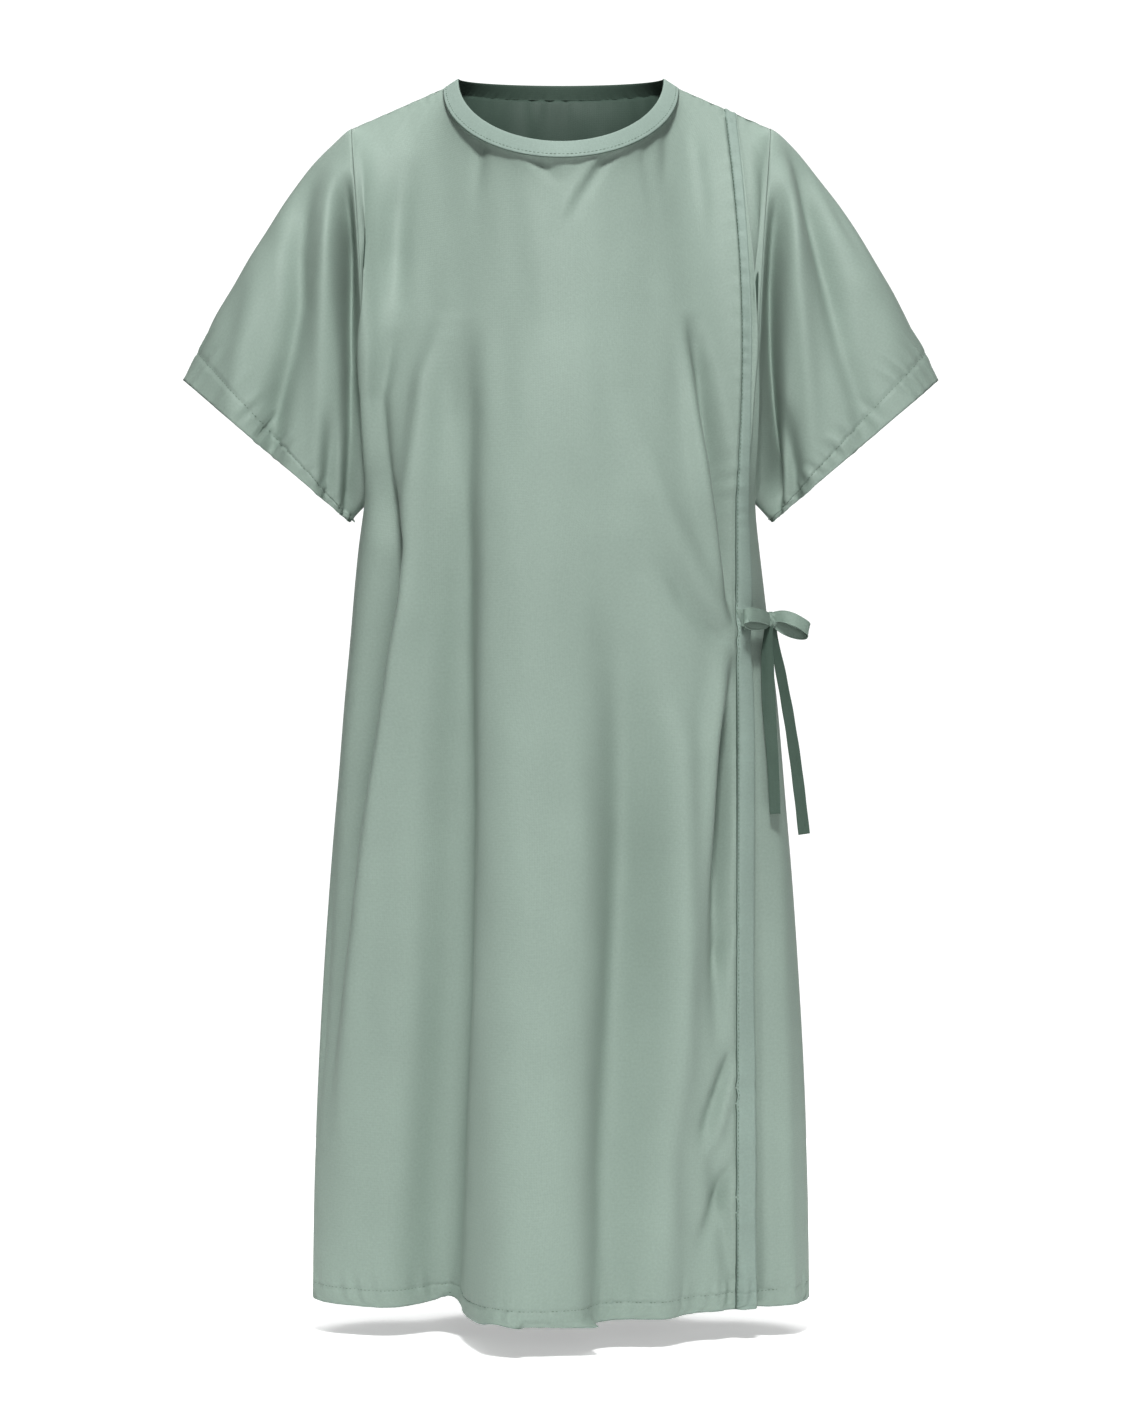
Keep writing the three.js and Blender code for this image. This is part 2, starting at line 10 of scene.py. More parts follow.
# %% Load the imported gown
import math
import bmesh
import bpy
import numpy as np
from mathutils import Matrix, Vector


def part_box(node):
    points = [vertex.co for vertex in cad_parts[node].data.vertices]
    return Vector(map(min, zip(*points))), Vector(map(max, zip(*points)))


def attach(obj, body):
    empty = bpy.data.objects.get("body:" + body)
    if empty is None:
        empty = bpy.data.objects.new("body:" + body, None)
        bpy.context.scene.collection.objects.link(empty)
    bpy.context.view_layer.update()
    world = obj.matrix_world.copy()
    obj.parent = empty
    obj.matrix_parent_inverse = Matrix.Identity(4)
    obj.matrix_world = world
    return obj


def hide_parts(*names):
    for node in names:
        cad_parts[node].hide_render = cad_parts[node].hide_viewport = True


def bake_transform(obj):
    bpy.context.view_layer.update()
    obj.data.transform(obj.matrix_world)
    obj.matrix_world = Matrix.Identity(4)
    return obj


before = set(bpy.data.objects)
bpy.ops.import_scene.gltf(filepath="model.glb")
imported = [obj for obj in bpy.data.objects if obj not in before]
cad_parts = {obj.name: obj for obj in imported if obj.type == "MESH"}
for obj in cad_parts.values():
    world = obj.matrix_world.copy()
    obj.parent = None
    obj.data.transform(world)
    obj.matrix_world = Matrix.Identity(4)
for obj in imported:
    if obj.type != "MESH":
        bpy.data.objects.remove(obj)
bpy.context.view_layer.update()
MM = 0.001
SIDES = ((-1, "right"), (1, "left"))
FORWARD, BACKWARD = Vector((0, -1, 0)), Vector((0, 1, 0))

# %% [markdown]
# ## Camera
#
# The gown is looked at straight from the front, from the height of its middle and from far enough
# away that its sides are nearly parallel. A long lens does that: a short lens close up would show
# the hem from above and the neck from below.

# %% Camera at the middle of the gown
VIEW_DISTANCE = 3.3
VIEW_HEIGHT = -0.56
camera_data = bpy.data.cameras.new("camera")
camera_data.lens = 94.1
camera_data.sensor_width = 36.0
camera = bpy.data.objects.new("camera", camera_data)
bpy.context.collection.objects.link(camera)
camera.location = (0, -VIEW_DISTANCE, VIEW_HEIGHT)
camera.rotation_euler = (math.radians(90), 0, 0)
bpy.context.scene.camera = camera

# %% [markdown]
# ## Cloth material
#
# The gown is plain-woven polyester cotton. Its threads lie over and under each other about three to
# the millimetre, which is too fine for any view of the whole gown, so the weave is drawn at about
# 2 mm and kept faint. What the eye does see is a soft gloss on the folds and a slight unevenness of
# the dye, so those come from a middling roughness and a slow noise. The weave could be an image, but
# two crossed wave textures give the same threads at any distance. Colours are given as hex and
# turned to linear by one function. One small function adds a node with its settings and links.

# %% Colour and node helpers
def linear(hex_colour):
    values = [int(hex_colour[i:i + 2], 16) / 255 for i in (1, 3, 5)]
    turned = [v / 12.92 if v <= 0.04045 else ((v + 0.055) / 1.055) ** 2.4 for v in values]
    return (*turned, 1.0)


def node(tree, kind, settings=None, inputs=None):
    made = tree.nodes.new(kind)
    for name, value in (settings or {}).items():
        setattr(made, name, value)
    for name, value in (inputs or {}).items():
        if isinstance(value, bpy.types.NodeSocket):
            tree.links.new(value, made.inputs[name])
        else:
            made.inputs[name].default_value = value
    return made


# %% Woven cloth, dyed sage
WEAVE_PITCH = 2.17131 * MM  # real threads are about 0.3 mm apart, too fine to show
SLUBS_PER_METRE = 420.0  # thick and thin places along a thread
DYE_PATCHES_PER_METRE = 9.0  # paler and darker patches of dye
WAVE_REPEAT = 2 * math.pi / 20  # what a wave texture repeats after, at a scale of 1
SAGE = "#8B9A91"


def woven_cloth(name, base, dark_share=0.06):
    material = bpy.data.materials.new(name)
    material.use_nodes = True
    tree = material.node_tree
    surface = tree.nodes["Principled BSDF"]
    surface.inputs["Roughness"].default_value = 0.6
    surface.inputs["IOR"].default_value = 1.46
    surface.inputs["Specular IOR Level"].default_value = 0.34
    surface.inputs["Sheen Weight"].default_value = 0.05
    surface.inputs["Sheen Roughness"].default_value = 0.45
    surface.inputs["Sheen Tint"].default_value = linear("#E4ECE6")
    place = node(tree, "ShaderNodeTexCoord")
    weave = node(tree, "ShaderNodeMath", {"operation": "MULTIPLY"})
    for slot, direction in enumerate("XY"):
        threads = node(tree, "ShaderNodeTexWave", {"bands_direction": direction},
                       {"Vector": place.outputs["UV"], "Scale": WAVE_REPEAT / WEAVE_PITCH,
                        "Distortion": 0.6, "Detail": 1.0})
        tree.links.new(threads.outputs["Fac"], weave.inputs[slot])
    slub = node(tree, "ShaderNodeTexNoise", None,
                {"Vector": place.outputs["UV"], "Scale": SLUBS_PER_METRE,
                 "Detail": 3.0, "Roughness": 0.6})
    dye = node(tree, "ShaderNodeTexNoise", None,
               {"Vector": place.outputs["UV"], "Scale": DYE_PATCHES_PER_METRE,
                "Detail": 3.0, "Roughness": 0.55})
    tone = node(tree, "ShaderNodeMapRange", None,
                {"Value": dye.outputs["Fac"], "From Min": 0.3, "From Max": 0.7,
                 "To Min": 1 - dark_share, "To Max": 1.0})
    grain = node(tree, "ShaderNodeMapRange", None,
                 {"Value": slub.outputs["Fac"], "From Min": 0.25, "From Max": 0.75,
                  "To Min": 0.93, "To Max": 1.04})
    both = node(tree, "ShaderNodeMath", {"operation": "MULTIPLY"})
    tree.links.new(tone.outputs["Result"], both.inputs[0])
    tree.links.new(grain.outputs["Result"], both.inputs[1])
    colour = node(tree, "ShaderNodeMix", {"data_type": "RGBA", "blend_type": "MULTIPLY"})
    colour.inputs[0].default_value = 1.0
    colour.inputs[6].default_value = linear(base)
    tree.links.new(both.outputs["Value"], colour.inputs[7])
    tree.links.new(colour.outputs[2], surface.inputs["Base Color"])
    height = node(tree, "ShaderNodeMath", {"operation": "MULTIPLY_ADD"})
    tree.links.new(slub.outputs["Fac"], height.inputs[0])
    height.inputs[1].default_value = 0.6
    tree.links.new(weave.outputs["Value"], height.inputs[2])
    bump = node(tree, "ShaderNodeBump", None,
                {"Height": height.outputs["Value"], "Strength": 0.16, "Distance": 0.0003})
    tree.links.new(bump.outputs["Normal"], surface.inputs["Normal"])
    return material


# the same weave all over: the first four differ by the dye's depth, the last three are darkened with painted
# shade
cloth = woven_cloth("polyester_cotton_woven_sage", SAGE)
edge_cloth = woven_cloth("polyester_cotton_turned_edge", "#889890", 0.1)
tie_cloth = woven_cloth("polyester_cotton_tape", "#819288", 0.1)
thread = woven_cloth("sewing_thread_spun_sage", "#66786D", 0.15)
# tape darkened with painted shade, for the tails and the binding's inner face
painted_shade_tape = woven_cloth("polyester_cotton_tape_in_shade", "#4C5E54", 0.16)
# a thin dark strip, painted shadow in the sunk lines at the band and the neck binding
crease = woven_cloth("sewn_crease_in_shade", "#4A5A51", 0.1)
# the inside of the cloth, darker with painted shade: inside the gown it is lit only through the neck and the
# hem
inside_shade = woven_cloth("polyester_cotton_woven_inside_painted_shade", "#42534A", 0.06)
print("materials:", [m.name for m in bpy.data.materials])

# %% [markdown]
# ## The hanging shape
#
# A level cut through the skirt is a flattened round with squarish corners. Above the armpits the
# cloth is stretched between that cut, the two armholes, the shoulder seams and the neckline. Both
# are worked out as whole arrays of points with numpy, because one formula then serves every layer.
# A place on a panel is named by two numbers: across, 0 at the wearer's right side and 1 at the left,
# and height, 0 at the hem, 1 at the armpits and 2 at the shoulder and neck seams.

# %% Sizes of the gown, in millimetres
hem_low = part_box("back_hem")[0]
LENGTH = -hem_low[2] / MM
HEM_HALF = -hem_low[0] / MM
CHEST_HALF = 173.0
ARMPIT = 381.0
HEM_RISE = 5.0
CHEST_DEPTH = {-1: 116.0, 1: 88.0}
HEM_DEPTH = {-1: 143.0, 1: 94.0}
SHOULDER_HALF, SHOULDER_DROP = 188.0, 45.0
ARMHOLE_DEPTH = 50.0
NECK_HALF, NECK_SIDE, NECK_FRONT = 104.0, 8.0, 82.0
NECK_DEPTH = {-1: 90.0, 1: 63.0}
NECK_SHARE = 0.3
CORNER = 2.25
BULGE = {-1: 8.0, 1: 6.4}
print("length", round(LENGTH, 1), "hem half width", round(HEM_HALF, 1))


# %% Small functions on arrays
def smooth(value, low, high):
    t = np.clip((value - low) / (high - low), 0, 1)
    return t * t * (3 - 2 * t)


def mix(a, b, t):
    return a + (b - a) * t


def stack(x, y, z):
    return np.stack(np.broadcast_arrays(x, y, z), axis=-1).astype(float)


# %% The skirt, the edges of the yoke, and the yoke between them
FLARE = 1.82
ARMHOLE_REACH = 0.35  # how far in from the armhole the yoke follows it


def half_width(h):
    return mix(CHEST_HALF, HEM_HALF, 1 - h ** FLARE)


def skirt(face, across, h):
    turn = np.pi * (across - 0.5)
    x = half_width(h) * np.sin(turn)
    shape = np.clip(1 - np.abs(np.sin(turn)) ** CORNER, 0, 1) ** (1 / CORNER)
    depth = mix(HEM_DEPTH[face], CHEST_DEPTH[face], h) * shape
    if face < 0:  # the front hem lies back at the right, comes forward, and eases back to the left
        rise = smooth(x, -0.46 * HEM_HALF, -0.25 * HEM_HALF)
        fall = 1 - 0.8 * smooth(x, 0, 0.62 * HEM_HALF)
        depth = depth * (1 - (0.6 - 0.6 * rise * fall) * (1 - h) ** 1.3)
    z = mix(-LENGTH, -ARMPIT, h) + HEM_RISE * (1 - shape) * (1 - h)
    return stack(x, face * depth, z)


def neckline(face, turn):
    sweep = np.sin(turn)
    drop = NECK_FRONT - NECK_SIDE if face < 0 else 0
    return stack(-NECK_HALF * np.cos(turn), face * NECK_DEPTH[face] * sweep, -NECK_SIDE - drop * sweep)


def top_edge(face, across):
    share = np.minimum(across, 1 - across) / NECK_SHARE
    side = np.where(across < 0.5, -1, 1)
    seam = stack(side * mix(SHOULDER_HALF, NECK_HALF, share), 0, mix(-SHOULDER_DROP, -NECK_SIDE, share))
    turn = np.pi * (across - NECK_SHARE) / (1 - 2 * NECK_SHARE)
    return np.where((share >= 1)[..., None], neckline(face, np.clip(turn, 0, np.pi)), seam)


def armhole(side, face, up):
    around = np.clip(1 - (2 * up - 1) ** 2, 0, 1) ** 0.45
    x = side * (mix(CHEST_HALF, SHOULDER_HALF, up) - 4 * np.sin(np.pi * up))
    return stack(x, face * ARMHOLE_DEPTH * around, mix(-ARMPIT, -SHOULDER_DROP, up))


def yoke(face, across, up):
    one = np.ones_like(across)
    point = mix(skirt(face, across, one), top_edge(face, across), up[..., None])
    for side, corner in ((-1, 0.0), (1, 1.0)):
        inward = across if side < 0 else 1 - across
        pull = np.clip(1 - inward / ARMHOLE_REACH, 0, 1) ** 2
        plain = mix(skirt(face, corner * one, one), top_edge(face, corner * one), up[..., None])
        point = point + (armhole(side, face, up) - plain) * pull[..., None]
    point[..., 1] += face * BULGE[face] * np.sin(np.pi * up) * np.sin(np.pi * across)
    return point


# %% [markdown]
# ## Folds
#
# A fold is a line of places down the cloth with a height at each: outwards for a ridge, inwards for
# a valley. Its two flanks may be wide or steep, which is what tells a soft hanging fold from a
# pulled crease. Cloth hangs from the bust, the shoulders and the tie, so the folds start there.
# Cloth simulation could find such folds, but not these ones in these places, so they are listed
# one by one. Each entry has its places as (x, z, height), then the widths of its two flanks, the one
# towards the wearer's right first.

# %% One fold, and a set of folds
def fold(x, z, path, left, right):
    line = np.array(sorted(path, key=lambda p: p[1]), dtype=float)
    middle = np.interp(z, line[:, 1], line[:, 0])
    height = np.interp(z, line[:, 1], line[:, 2], left=0, right=line[-1, 2])
    away = (x - middle) / np.where(x < middle, left, right)
    return height * np.exp(-away ** 2)


FRONT_FOLDS = [
    # from the right bust straight down
    ([(-88, -225, 0), (-88, -260, -3), (-88, -307, -7), (-90, -424, -12), (-93, -514, -14),
      (-94, -650, -14), (-98, -800, -14), (-106, -950, -13), (-112, -1100, -12)], 26, 16),
    # the long crease from the bust out to the side, the valley beside it and the round of the side
    ([(-104, -215, 0), (-108, -240, 3), (-120, -278, 5), (-132, -379, 6), (-138, -480, 6), (-147, -523, 6),
      (-155, -580, 6), (-164, -651, 6), (-174, -724, 5), (-184, -810, 4), (-194, -900, 0)], 11, 12),
    ([(-150, -228, 0), (-163, -290, -6), (-160, -361, -8), (-148, -424, -11), (-153, -469, -11),
      (-160, -514, -10), (-173, -604, -10), (-189, -694, -8), (-199, -784, -5), (-208, -874, -3),
      (-212, -960, 0)], 10, 9),
    ([(-170, -380, 0), (-172, -424, 2), (-179, -500, 2), (-190, -604, 2), (-204, -700, 0)], 7, 7),
    # the broad bright column down the middle
    ([(-30, -230, 0), (-32, -400, 4), (-35, -700, 7), (-30, -1100, 7)], 34, 40),
    # pulled folds from the left bust to the tie
    ([(106, -212, 0), (110, -232, 2), (117, -306, 4), (127, -380, 5), (143, -450, 3),
      (152, -480, 0)], 9, 8),
    ([(110, -216, 0), (117, -240, -4), (124, -268, -7), (131, -307, -9), (140, -350, -10), (148, -424, -11),
      (153, -465, -7), (156, -500, 0)], 8, 10),
    ([(58, -290, 0), (85, -380, 3), (115, -440, 3.5), (143, -488, 2), (150, -505, 0)], 15, 12),
    ([(88, -420, 0), (110, -470, -4), (138, -500, -5), (150, -512, 0)], 9, 9),
    # the slack cloth under the tie
    ([(150, -505, 0), (147, -530, 5), (142, -560, 7), (134, -594, 7), (130, -669, 6), (128, -720, 3),
      (126, -800, 0)], 11, 8),
    ([(152, -508, 0), (150, -530, -5), (147, -594, -10), (143, -669, -10), (138, -760, -6),
      (138, -880, 0)], 8, 8),
    ([(125, -900, 0), (140, -1000, -3), (150, -1060, -3), (152, -1100, -3)], 9, 7),
    # short creases drawn down from the band's stitches
    ([(155, -862, 0), (148, -880, -4), (139, -905, -5), (130, -932, -3), (122, -950, 0)], 6, 5),
    ([(152, -890, 0), (144, -915, 3), (134, -945, 3), (127, -968, 0)], 6, 6),
    ([(154, -962, 0), (147, -980, -4), (138, -1003, -4), (129, -1028, -3), (121, -1048, 0)], 6, 5),
    ([(154, -742, 0), (147, -760, -3), (140, -785, -3), (134, -806, 0)], 5, 5),
    # two broad folds that open towards the hem
    ([(56, -420, 0), (56, -514, -6), (60, -604, -10), (62, -694, -14), (60, -784, -15), (56, -874, -15),
      (50, -1000, -13), (46, -1100, -10)], 26, 26),
    ([(104, -560, 0), (107, -604, 5), (107, -784, 8), (104, -874, 6), (92, -964, 5),
      (88, -1100, 5)], 18, 15),
    # small gathers under the neck binding
    ([(-42, -62, 0), (-38, -70, -2), (-22, -84, -2.3), (-14, -93, -1.8), (-4, -108, 0)], 5, 7),
    ([(46, -60, 0), (40, -70, 1.8), (22, -95, 2.2), (4, -124, 1.6), (-8, -152, 0)], 6, 6),
    ([(54, -60, 0), (50, -70, -1.8), (33, -92, -1.8), (17, -116, -1.2), (5, -142, 0)], 5, 6),
    ([(79, -44, 0), (76, -60, -1.2), (73, -82, -1), (78, -110, -0.6), (83, -145, 0)], 4, 7),
    ([(-72, -48, 0), (-72, -62, -1.8), (-74, -90, -1.2), (-77, -125, 0)], 5, 6),
    ([(98, -28, 0), (95, -50, -1.2), (93, -80, -0.8), (90, -112, 0)], 5, 7),
    ([(118, -44, 0), (121, -70, 1), (126, -110, 1), (130, -150, 0)], 5, 7),
    # the cloth rounds over each armhole seam
    ([(-186, -60, 0), (-184, -100, 4), (-181, -140, 6), (-176, -200, 6), (-170, -270, 5), (-166, -340, 4),
      (-164, -430, 0)], 8, 13),
    ([(186, -60, 0), (184, -100, 2), (181, -140, 3), (176, -200, 3), (170, -270, 3), (166, -340, 2),
      (164, -430, 0)], 8, 9),
    # the soft drape in front of each shoulder
    ([(-140, -70, 0), (-144, -120, -3), (-146, -160, -3), (-146, -215, 0)], 12, 12),
]
BACK_FOLDS = [
    ([(-58, -190, 0), (-60, -400, 4), (-64, -700, 8), (-70, -1100, 13)], 34, 30),
    ([(-8, -250, 0), (-6, -500, -4), (-4, -800, -7), (0, -1100, -9)], 26, 26),
    ([(52, -200, 0), (56, -420, 4), (60, -700, 8), (66, -1100, 12)], 30, 34),
    ([(-118, -320, 0), (-124, -600, -4), (-132, -1100, -8)], 26, 24),
    ([(112, -300, 0), (120, -600, -5), (130, -1100, -8)], 24, 28),
    ([(-150, -150, 0), (-120, -230, -3), (-96, -320, 0)], 14, 14),
    ([(150, -150, 0), (122, -230, -3), (98, -320, 0)], 14, 14),
    ([(-30, -14, 0), (-32, -50, -1.6), (-36, -110, 0)], 8, 8),
    ([(34, -14, 0), (33, -50, -1.6), (36, -120, 0)], 8, 8),
]


FOLD_DEPTH = {-1: 1.8, 1: 1.2}
VALLEY_SHARE = 1.3  # valleys are deeper than ridges are high


def fold_height(face, x, z):
    total = np.zeros_like(x)
    for path, left, right in (FRONT_FOLDS if face < 0 else BACK_FOLDS):
        total += fold(x, z, path, left, right)
    return FOLD_DEPTH[face] * np.where(total < 0, VALLEY_SHARE * total, total)


# %% Slow unevenness, as in cloth that has been folded and shaken out
def unevenness(x, z, seed, size, height):
    rng = np.random.default_rng(seed)
    total = np.zeros_like(x)
    for _ in range(14):
        angle = rng.uniform(-0.5, 0.5)
        reach = size * rng.uniform(0.6, 1.8)
        phase = rng.uniform(0, 2 * np.pi)
        total += np.sin(2 * np.pi * (x * math.cos(angle) + 0.45 * z * math.sin(angle)) / reach + phase)
    return height * total / 14 ** 0.5


# %% Reading a master grid at any place
def read(grid, u, v):
    rows, columns = grid.shape[:2]
    a = np.clip(u, 0, 1) * (columns - 1)
    b = np.clip(v, 0, 1) * (rows - 1)
    i = np.minimum(a.astype(int), columns - 2)
    j = np.minimum(b.astype(int), rows - 2)
    fa, fb = (a - i)[..., None], (b - j)[..., None]
    low = mix(grid[j, i], grid[j, i + 1], fa)
    high = mix(grid[j + 1, i], grid[j + 1, i + 1], fa)
    return mix(low, high, fb)


# %% Master grids: the whole front and the whole back
COLUMNS, ROWS = 241, 361
OVERHANG = {"right": 7, "left": 3}  # how far the cloth stands over the armhole seams
across_grid, height_grid = np.meshgrid(np.linspace(0, 1, COLUMNS), np.linspace(0, 2, ROWS))


def outward_normals(points, sign):
    over = np.gradient(points, axis=1)
    up = np.gradient(points, axis=0)
    normal = np.cross(over, up) * sign
    return normal / np.maximum(np.linalg.norm(normal, axis=-1, keepdims=True), 1e-9)


def relax(points, times):
    for _ in range(times):
        inner = (points[:-2, 1:-1] + points[2:, 1:-1] + points[1:-1, :-2] + points[1:-1, 2:]) / 4
        points[1:-1, 1:-1] = mix(points[1:-1, 1:-1], inner, 0.8)
    return points


def torso_grid(face):
    low = skirt(face, across_grid, np.clip(height_grid, 0, 1))
    high = yoke(face, across_grid, np.clip(height_grid - 1, 0, 1))
    points = np.where((height_grid <= 1)[..., None], low, high)
    coarse = relax(points[::4, ::4].copy(), 45) - points[::4, ::4]
    share = smooth(height_grid, 1.1, 1.5)[..., None]
    points = points + read(coarse, across_grid, height_grid / 2) * share
    points = relax(points, 80)
    inward = np.minimum(across_grid, 1 - across_grid)
    over = np.where(across_grid < 0.5, OVERHANG["right"], OVERHANG["left"]) * smooth(inward, 0, 0.02)
    over = over * np.exp(-((inward - 0.035) / 0.025) ** 2)
    over = over * np.sin(np.pi * np.clip((height_grid - 1) / 0.86, 0, 1))
    points[..., 0] += np.sign(across_grid - 0.5) * over
    x, z = points[..., 0], points[..., 2]
    edge = smooth(inward, 0, 0.03)
    seam = smooth(2 - height_grid, 0, 0.05)
    height = fold_height(face, x, z)
    height += unevenness(x, z, 7 + face, 90, 1.0) + unevenness(x, z, 17 + face, 34, 0.35)
    points = points + outward_normals(points, -face) * (height * edge * seam)[..., None]
    return relax(points, 2)


front_grid = torso_grid(-1)
back_grid = torso_grid(1)
print("front grid", front_grid.shape, "depth", front_grid[..., 1].min().round(1))

# %% [markdown]
# Every layer is the master grid moved along its normals. A place between grid points is read by
# mixing the four points round it, so a hem or a row of stitches can lie anywhere on the cloth.

# %% A master grid with its normals and its flat size
class Surface:
    def __init__(self, points, sign):
        self.points = points
        self.normals = outward_normals(points, sign)
        steps = np.linalg.norm(np.diff(points, axis=1), axis=-1)
        rises = np.linalg.norm(np.diff(points, axis=0), axis=-1)
        u = np.concatenate([np.zeros((points.shape[0], 1)), np.cumsum(steps, axis=1)], axis=1)
        v = np.concatenate([np.zeros((1, points.shape[1])), np.cumsum(rises, axis=0)], axis=0)
        self.flat = np.stack([u - u.mean(axis=1, keepdims=True), v], axis=-1)
        self.width, self.height = u[:, -1].mean(), v[-1].mean()

    def at(self, u, v, out=0.0):
        out = np.broadcast_to(out, np.shape(u))
        return read(self.points, u, v) + read(self.normals, u, v) * out[..., None]

    def cut(self, u, v):
        return read(self.flat, u, v)


front = Surface(front_grid, 1)
back = Surface(back_grid, -1)


# %% Where across the front a given x lies, and the lines of the wrap
def across_at(x, h):
    line = read(front.points, np.linspace(0.5, 1, 400), np.full(400, h / 2))[:, 0]
    return float(np.interp(x, line, np.linspace(0.5, 1, 400)))


BAND_WIDTH = 12.5
BAND_LOW, BAND_TOP, BAND_BOW = 155.0, 147.0, 9.0  # its x at the hem and shoulder, and its curve
UNDERLAP_EDGE = 40.0
SMALL_STEP = 0.004
line_heights = np.linspace(0, 2, 81)
ups = np.clip(line_heights - 1, 0, 1)
inner_x = mix(BAND_LOW, BAND_TOP, ups) + BAND_BOW * np.sin(np.pi * ups)
band_in = np.array([across_at(x, h) for x, h in zip(inner_x, line_heights)])
stepped = front.at(band_in + SMALL_STEP, line_heights / 2) - front.at(band_in, line_heights / 2)
band_out = band_in + SMALL_STEP * BAND_WIDTH / np.linalg.norm(stepped, axis=-1)
BAND_SPEED = BAND_WIDTH / (band_out - band_in).mean()  # millimetres for each unit across
hidden = np.array([across_at(UNDERLAP_EDGE, h) for h in line_heights])
print("band", round(band_in[0], 3), "to", round(band_out[0], 3), "across at the hem")


def band_inner(v):
    return np.interp(v * 2, line_heights, band_in)


def band_outer(v):
    return np.interp(v * 2, line_heights, band_out)


def hidden_edge(v):
    return np.interp(v * 2, line_heights, hidden)


# %% [markdown]
# ## Making a sheet
#
# A sheet starts as a flat grid from bmesh and each of its points is then carried to its place on the
# cloth. The flat place is kept in the UV map, in metres, because the weave must follow the threads
# and not the room. Solidify gives the cloth its thickness.

# %% A sheet from a grid
CLOTH = 0.4


def sheet_object(name, columns, rows, place, material, thickness=CLOTH, inside_shade=None):
    mesh = bpy.data.meshes.new(name)
    shape = bmesh.new()
    bmesh.ops.create_grid(shape, x_segments=columns, y_segments=rows, size=0.5)
    shape.loops.layers.uv.new("UVMap")
    shape.to_mesh(mesh)
    shape.free()
    flat = np.empty(len(mesh.vertices) * 3)
    mesh.vertices.foreach_get("co", flat)
    flat = flat.reshape(-1, 3)
    points, cut = place(np.clip(flat[:, 0] + 0.5, 0, 1), np.clip(flat[:, 1] + 0.5, 0, 1))
    mesh.vertices.foreach_set("co", (points * MM).ravel())
    corner = np.empty(len(mesh.loops), dtype=np.int32)
    mesh.loops.foreach_get("vertex_index", corner)
    mesh.uv_layers[0].data.foreach_set("uv", (cut[corner] * MM).ravel())
    mesh.polygons.foreach_set("use_smooth", np.ones(len(mesh.polygons), dtype=bool))
    mesh.materials.append(material)
    mesh.update()
    piece = bpy.data.objects.new(name, mesh)
    bpy.context.collection.objects.link(piece)
    if thickness:
        solid = piece.modifiers.new("cloth_thickness", "SOLIDIFY")
        solid.thickness = thickness * MM
        solid.offset = 0
        # the inner shell gets the darker inside material, which is painted shade
        if inside_shade:
            mesh.materials.append(inside_shade)
            solid.material_offset = 1
    return piece


def facing(piece, towards):
    mesh = piece.data
    share = sum(p.normal.dot(towards) * p.area for p in mesh.polygons)
    if share < 0:
        mesh.flip_normals()
    return piece


# %% [markdown]
# ## Puckers
#
# A row of stitches draws the cloth in a little, so a stitched edge is never quite flat: small waves
# stand across it, one to two centimetres apart and about a millimetre high, strongest at the
# stitches. Seven sine waves of different pitch, drawn from a fixed seed, keep them from repeating.

# %% Puckers along an edge
PUCKER_WAVES = 7


def puckers(along, distance, width, height, seed):
    rng = np.random.default_rng(seed)
    total = np.zeros_like(along)
    for _ in range(PUCKER_WAVES):
        pitch = rng.uniform(9, 21)
        total += np.sin(2 * np.pi * along / pitch + rng.uniform(0, 6.28))
    patchy = 0.75 + 0.25 * np.sin(2 * np.pi * along / 131 + seed)
    return height * patchy * total / PUCKER_WAVES ** 0.5 * np.exp(-(distance / width) ** 2)


SHOULDER_REACH = 250  # cloth length for a half of the height scale, near the shoulder
HEM_HEIGHT = 14.5
HEM_SHARE = HEM_HEIGHT / 2 / (LENGTH - ARMPIT)


def near_hem(v):
    return v * 2 * (LENGTH - ARMPIT)


def panel_out(surface, u, v, seed, band=False):
    cut = surface.cut(u, v)
    above = near_hem(v)
    side = smooth(np.minimum(u, 1 - u), 0, 0.02)
    out = puckers(cut[..., 0], above - HEM_HEIGHT, 14, 1.1, seed) * side
    out = out - 0.9 * np.exp(-((above - HEM_HEIGHT) / 1.5) ** 2) * side
    out = out + puckers(cut[..., 0], (2 - 2 * v) * SHOULDER_REACH, 14, 0.5, seed + 6) * side
    if band:
        distance = (u - band_inner(v)) * surface.width
        stronger = 0.5 + 0.8 * smooth(0.32 - v, 0, 0.22)
        out = out + puckers(cut[..., 1], distance, 18, 0.8, seed + 1) * stronger
        out = out - 1.3 * np.exp(-((distance + 0.5) / 2.0) ** 2)
    return out


# %% Rows crowd together at the hem, where the puckers are
HEM_ROWS = 0.12  # this share of the rows lies in the puckered strip at the hem
HEM_STRIP = HEM_SHARE * 2.2


def crowded(t):
    above = HEM_STRIP + (t - HEM_ROWS) / (1 - HEM_ROWS) * (1 - HEM_STRIP)
    return np.where(t < HEM_ROWS, t / HEM_ROWS * HEM_STRIP, above)


# %% [markdown]
# ## The panels
#
# The wrap front is one cloth from the right side seam to the band. The underlap lies 3 mm inside
# it and comes forward to the side seam. The front is one cloth across the fold line where its free
# corner opens, because two pieces split at that line would tear there, as rigid card would. The
# inner side of the cloth has a darker material of its own, painted shade: inside the gown the cloth
# is lit only through the neck and the hem.


def bends_with_flap(piece):
    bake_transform(piece)


def wrap_place(i, j):
    v = crowded(j)
    u = np.where(i < 0.87, i / 0.87 * 0.93, 0.93 + (i - 0.87) / 0.13 * 0.07) * band_outer(v)
    return front.at(u, v, panel_out(front, u, v, 3, band=True)), front.cut(u, v)


wrap_front = facing(sheet_object("wrap_front", 190, 230, wrap_place, cloth, inside_shade=inside_shade), FORWARD)
bends_with_flap(wrap_front)
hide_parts("front_panel", "front_flap")


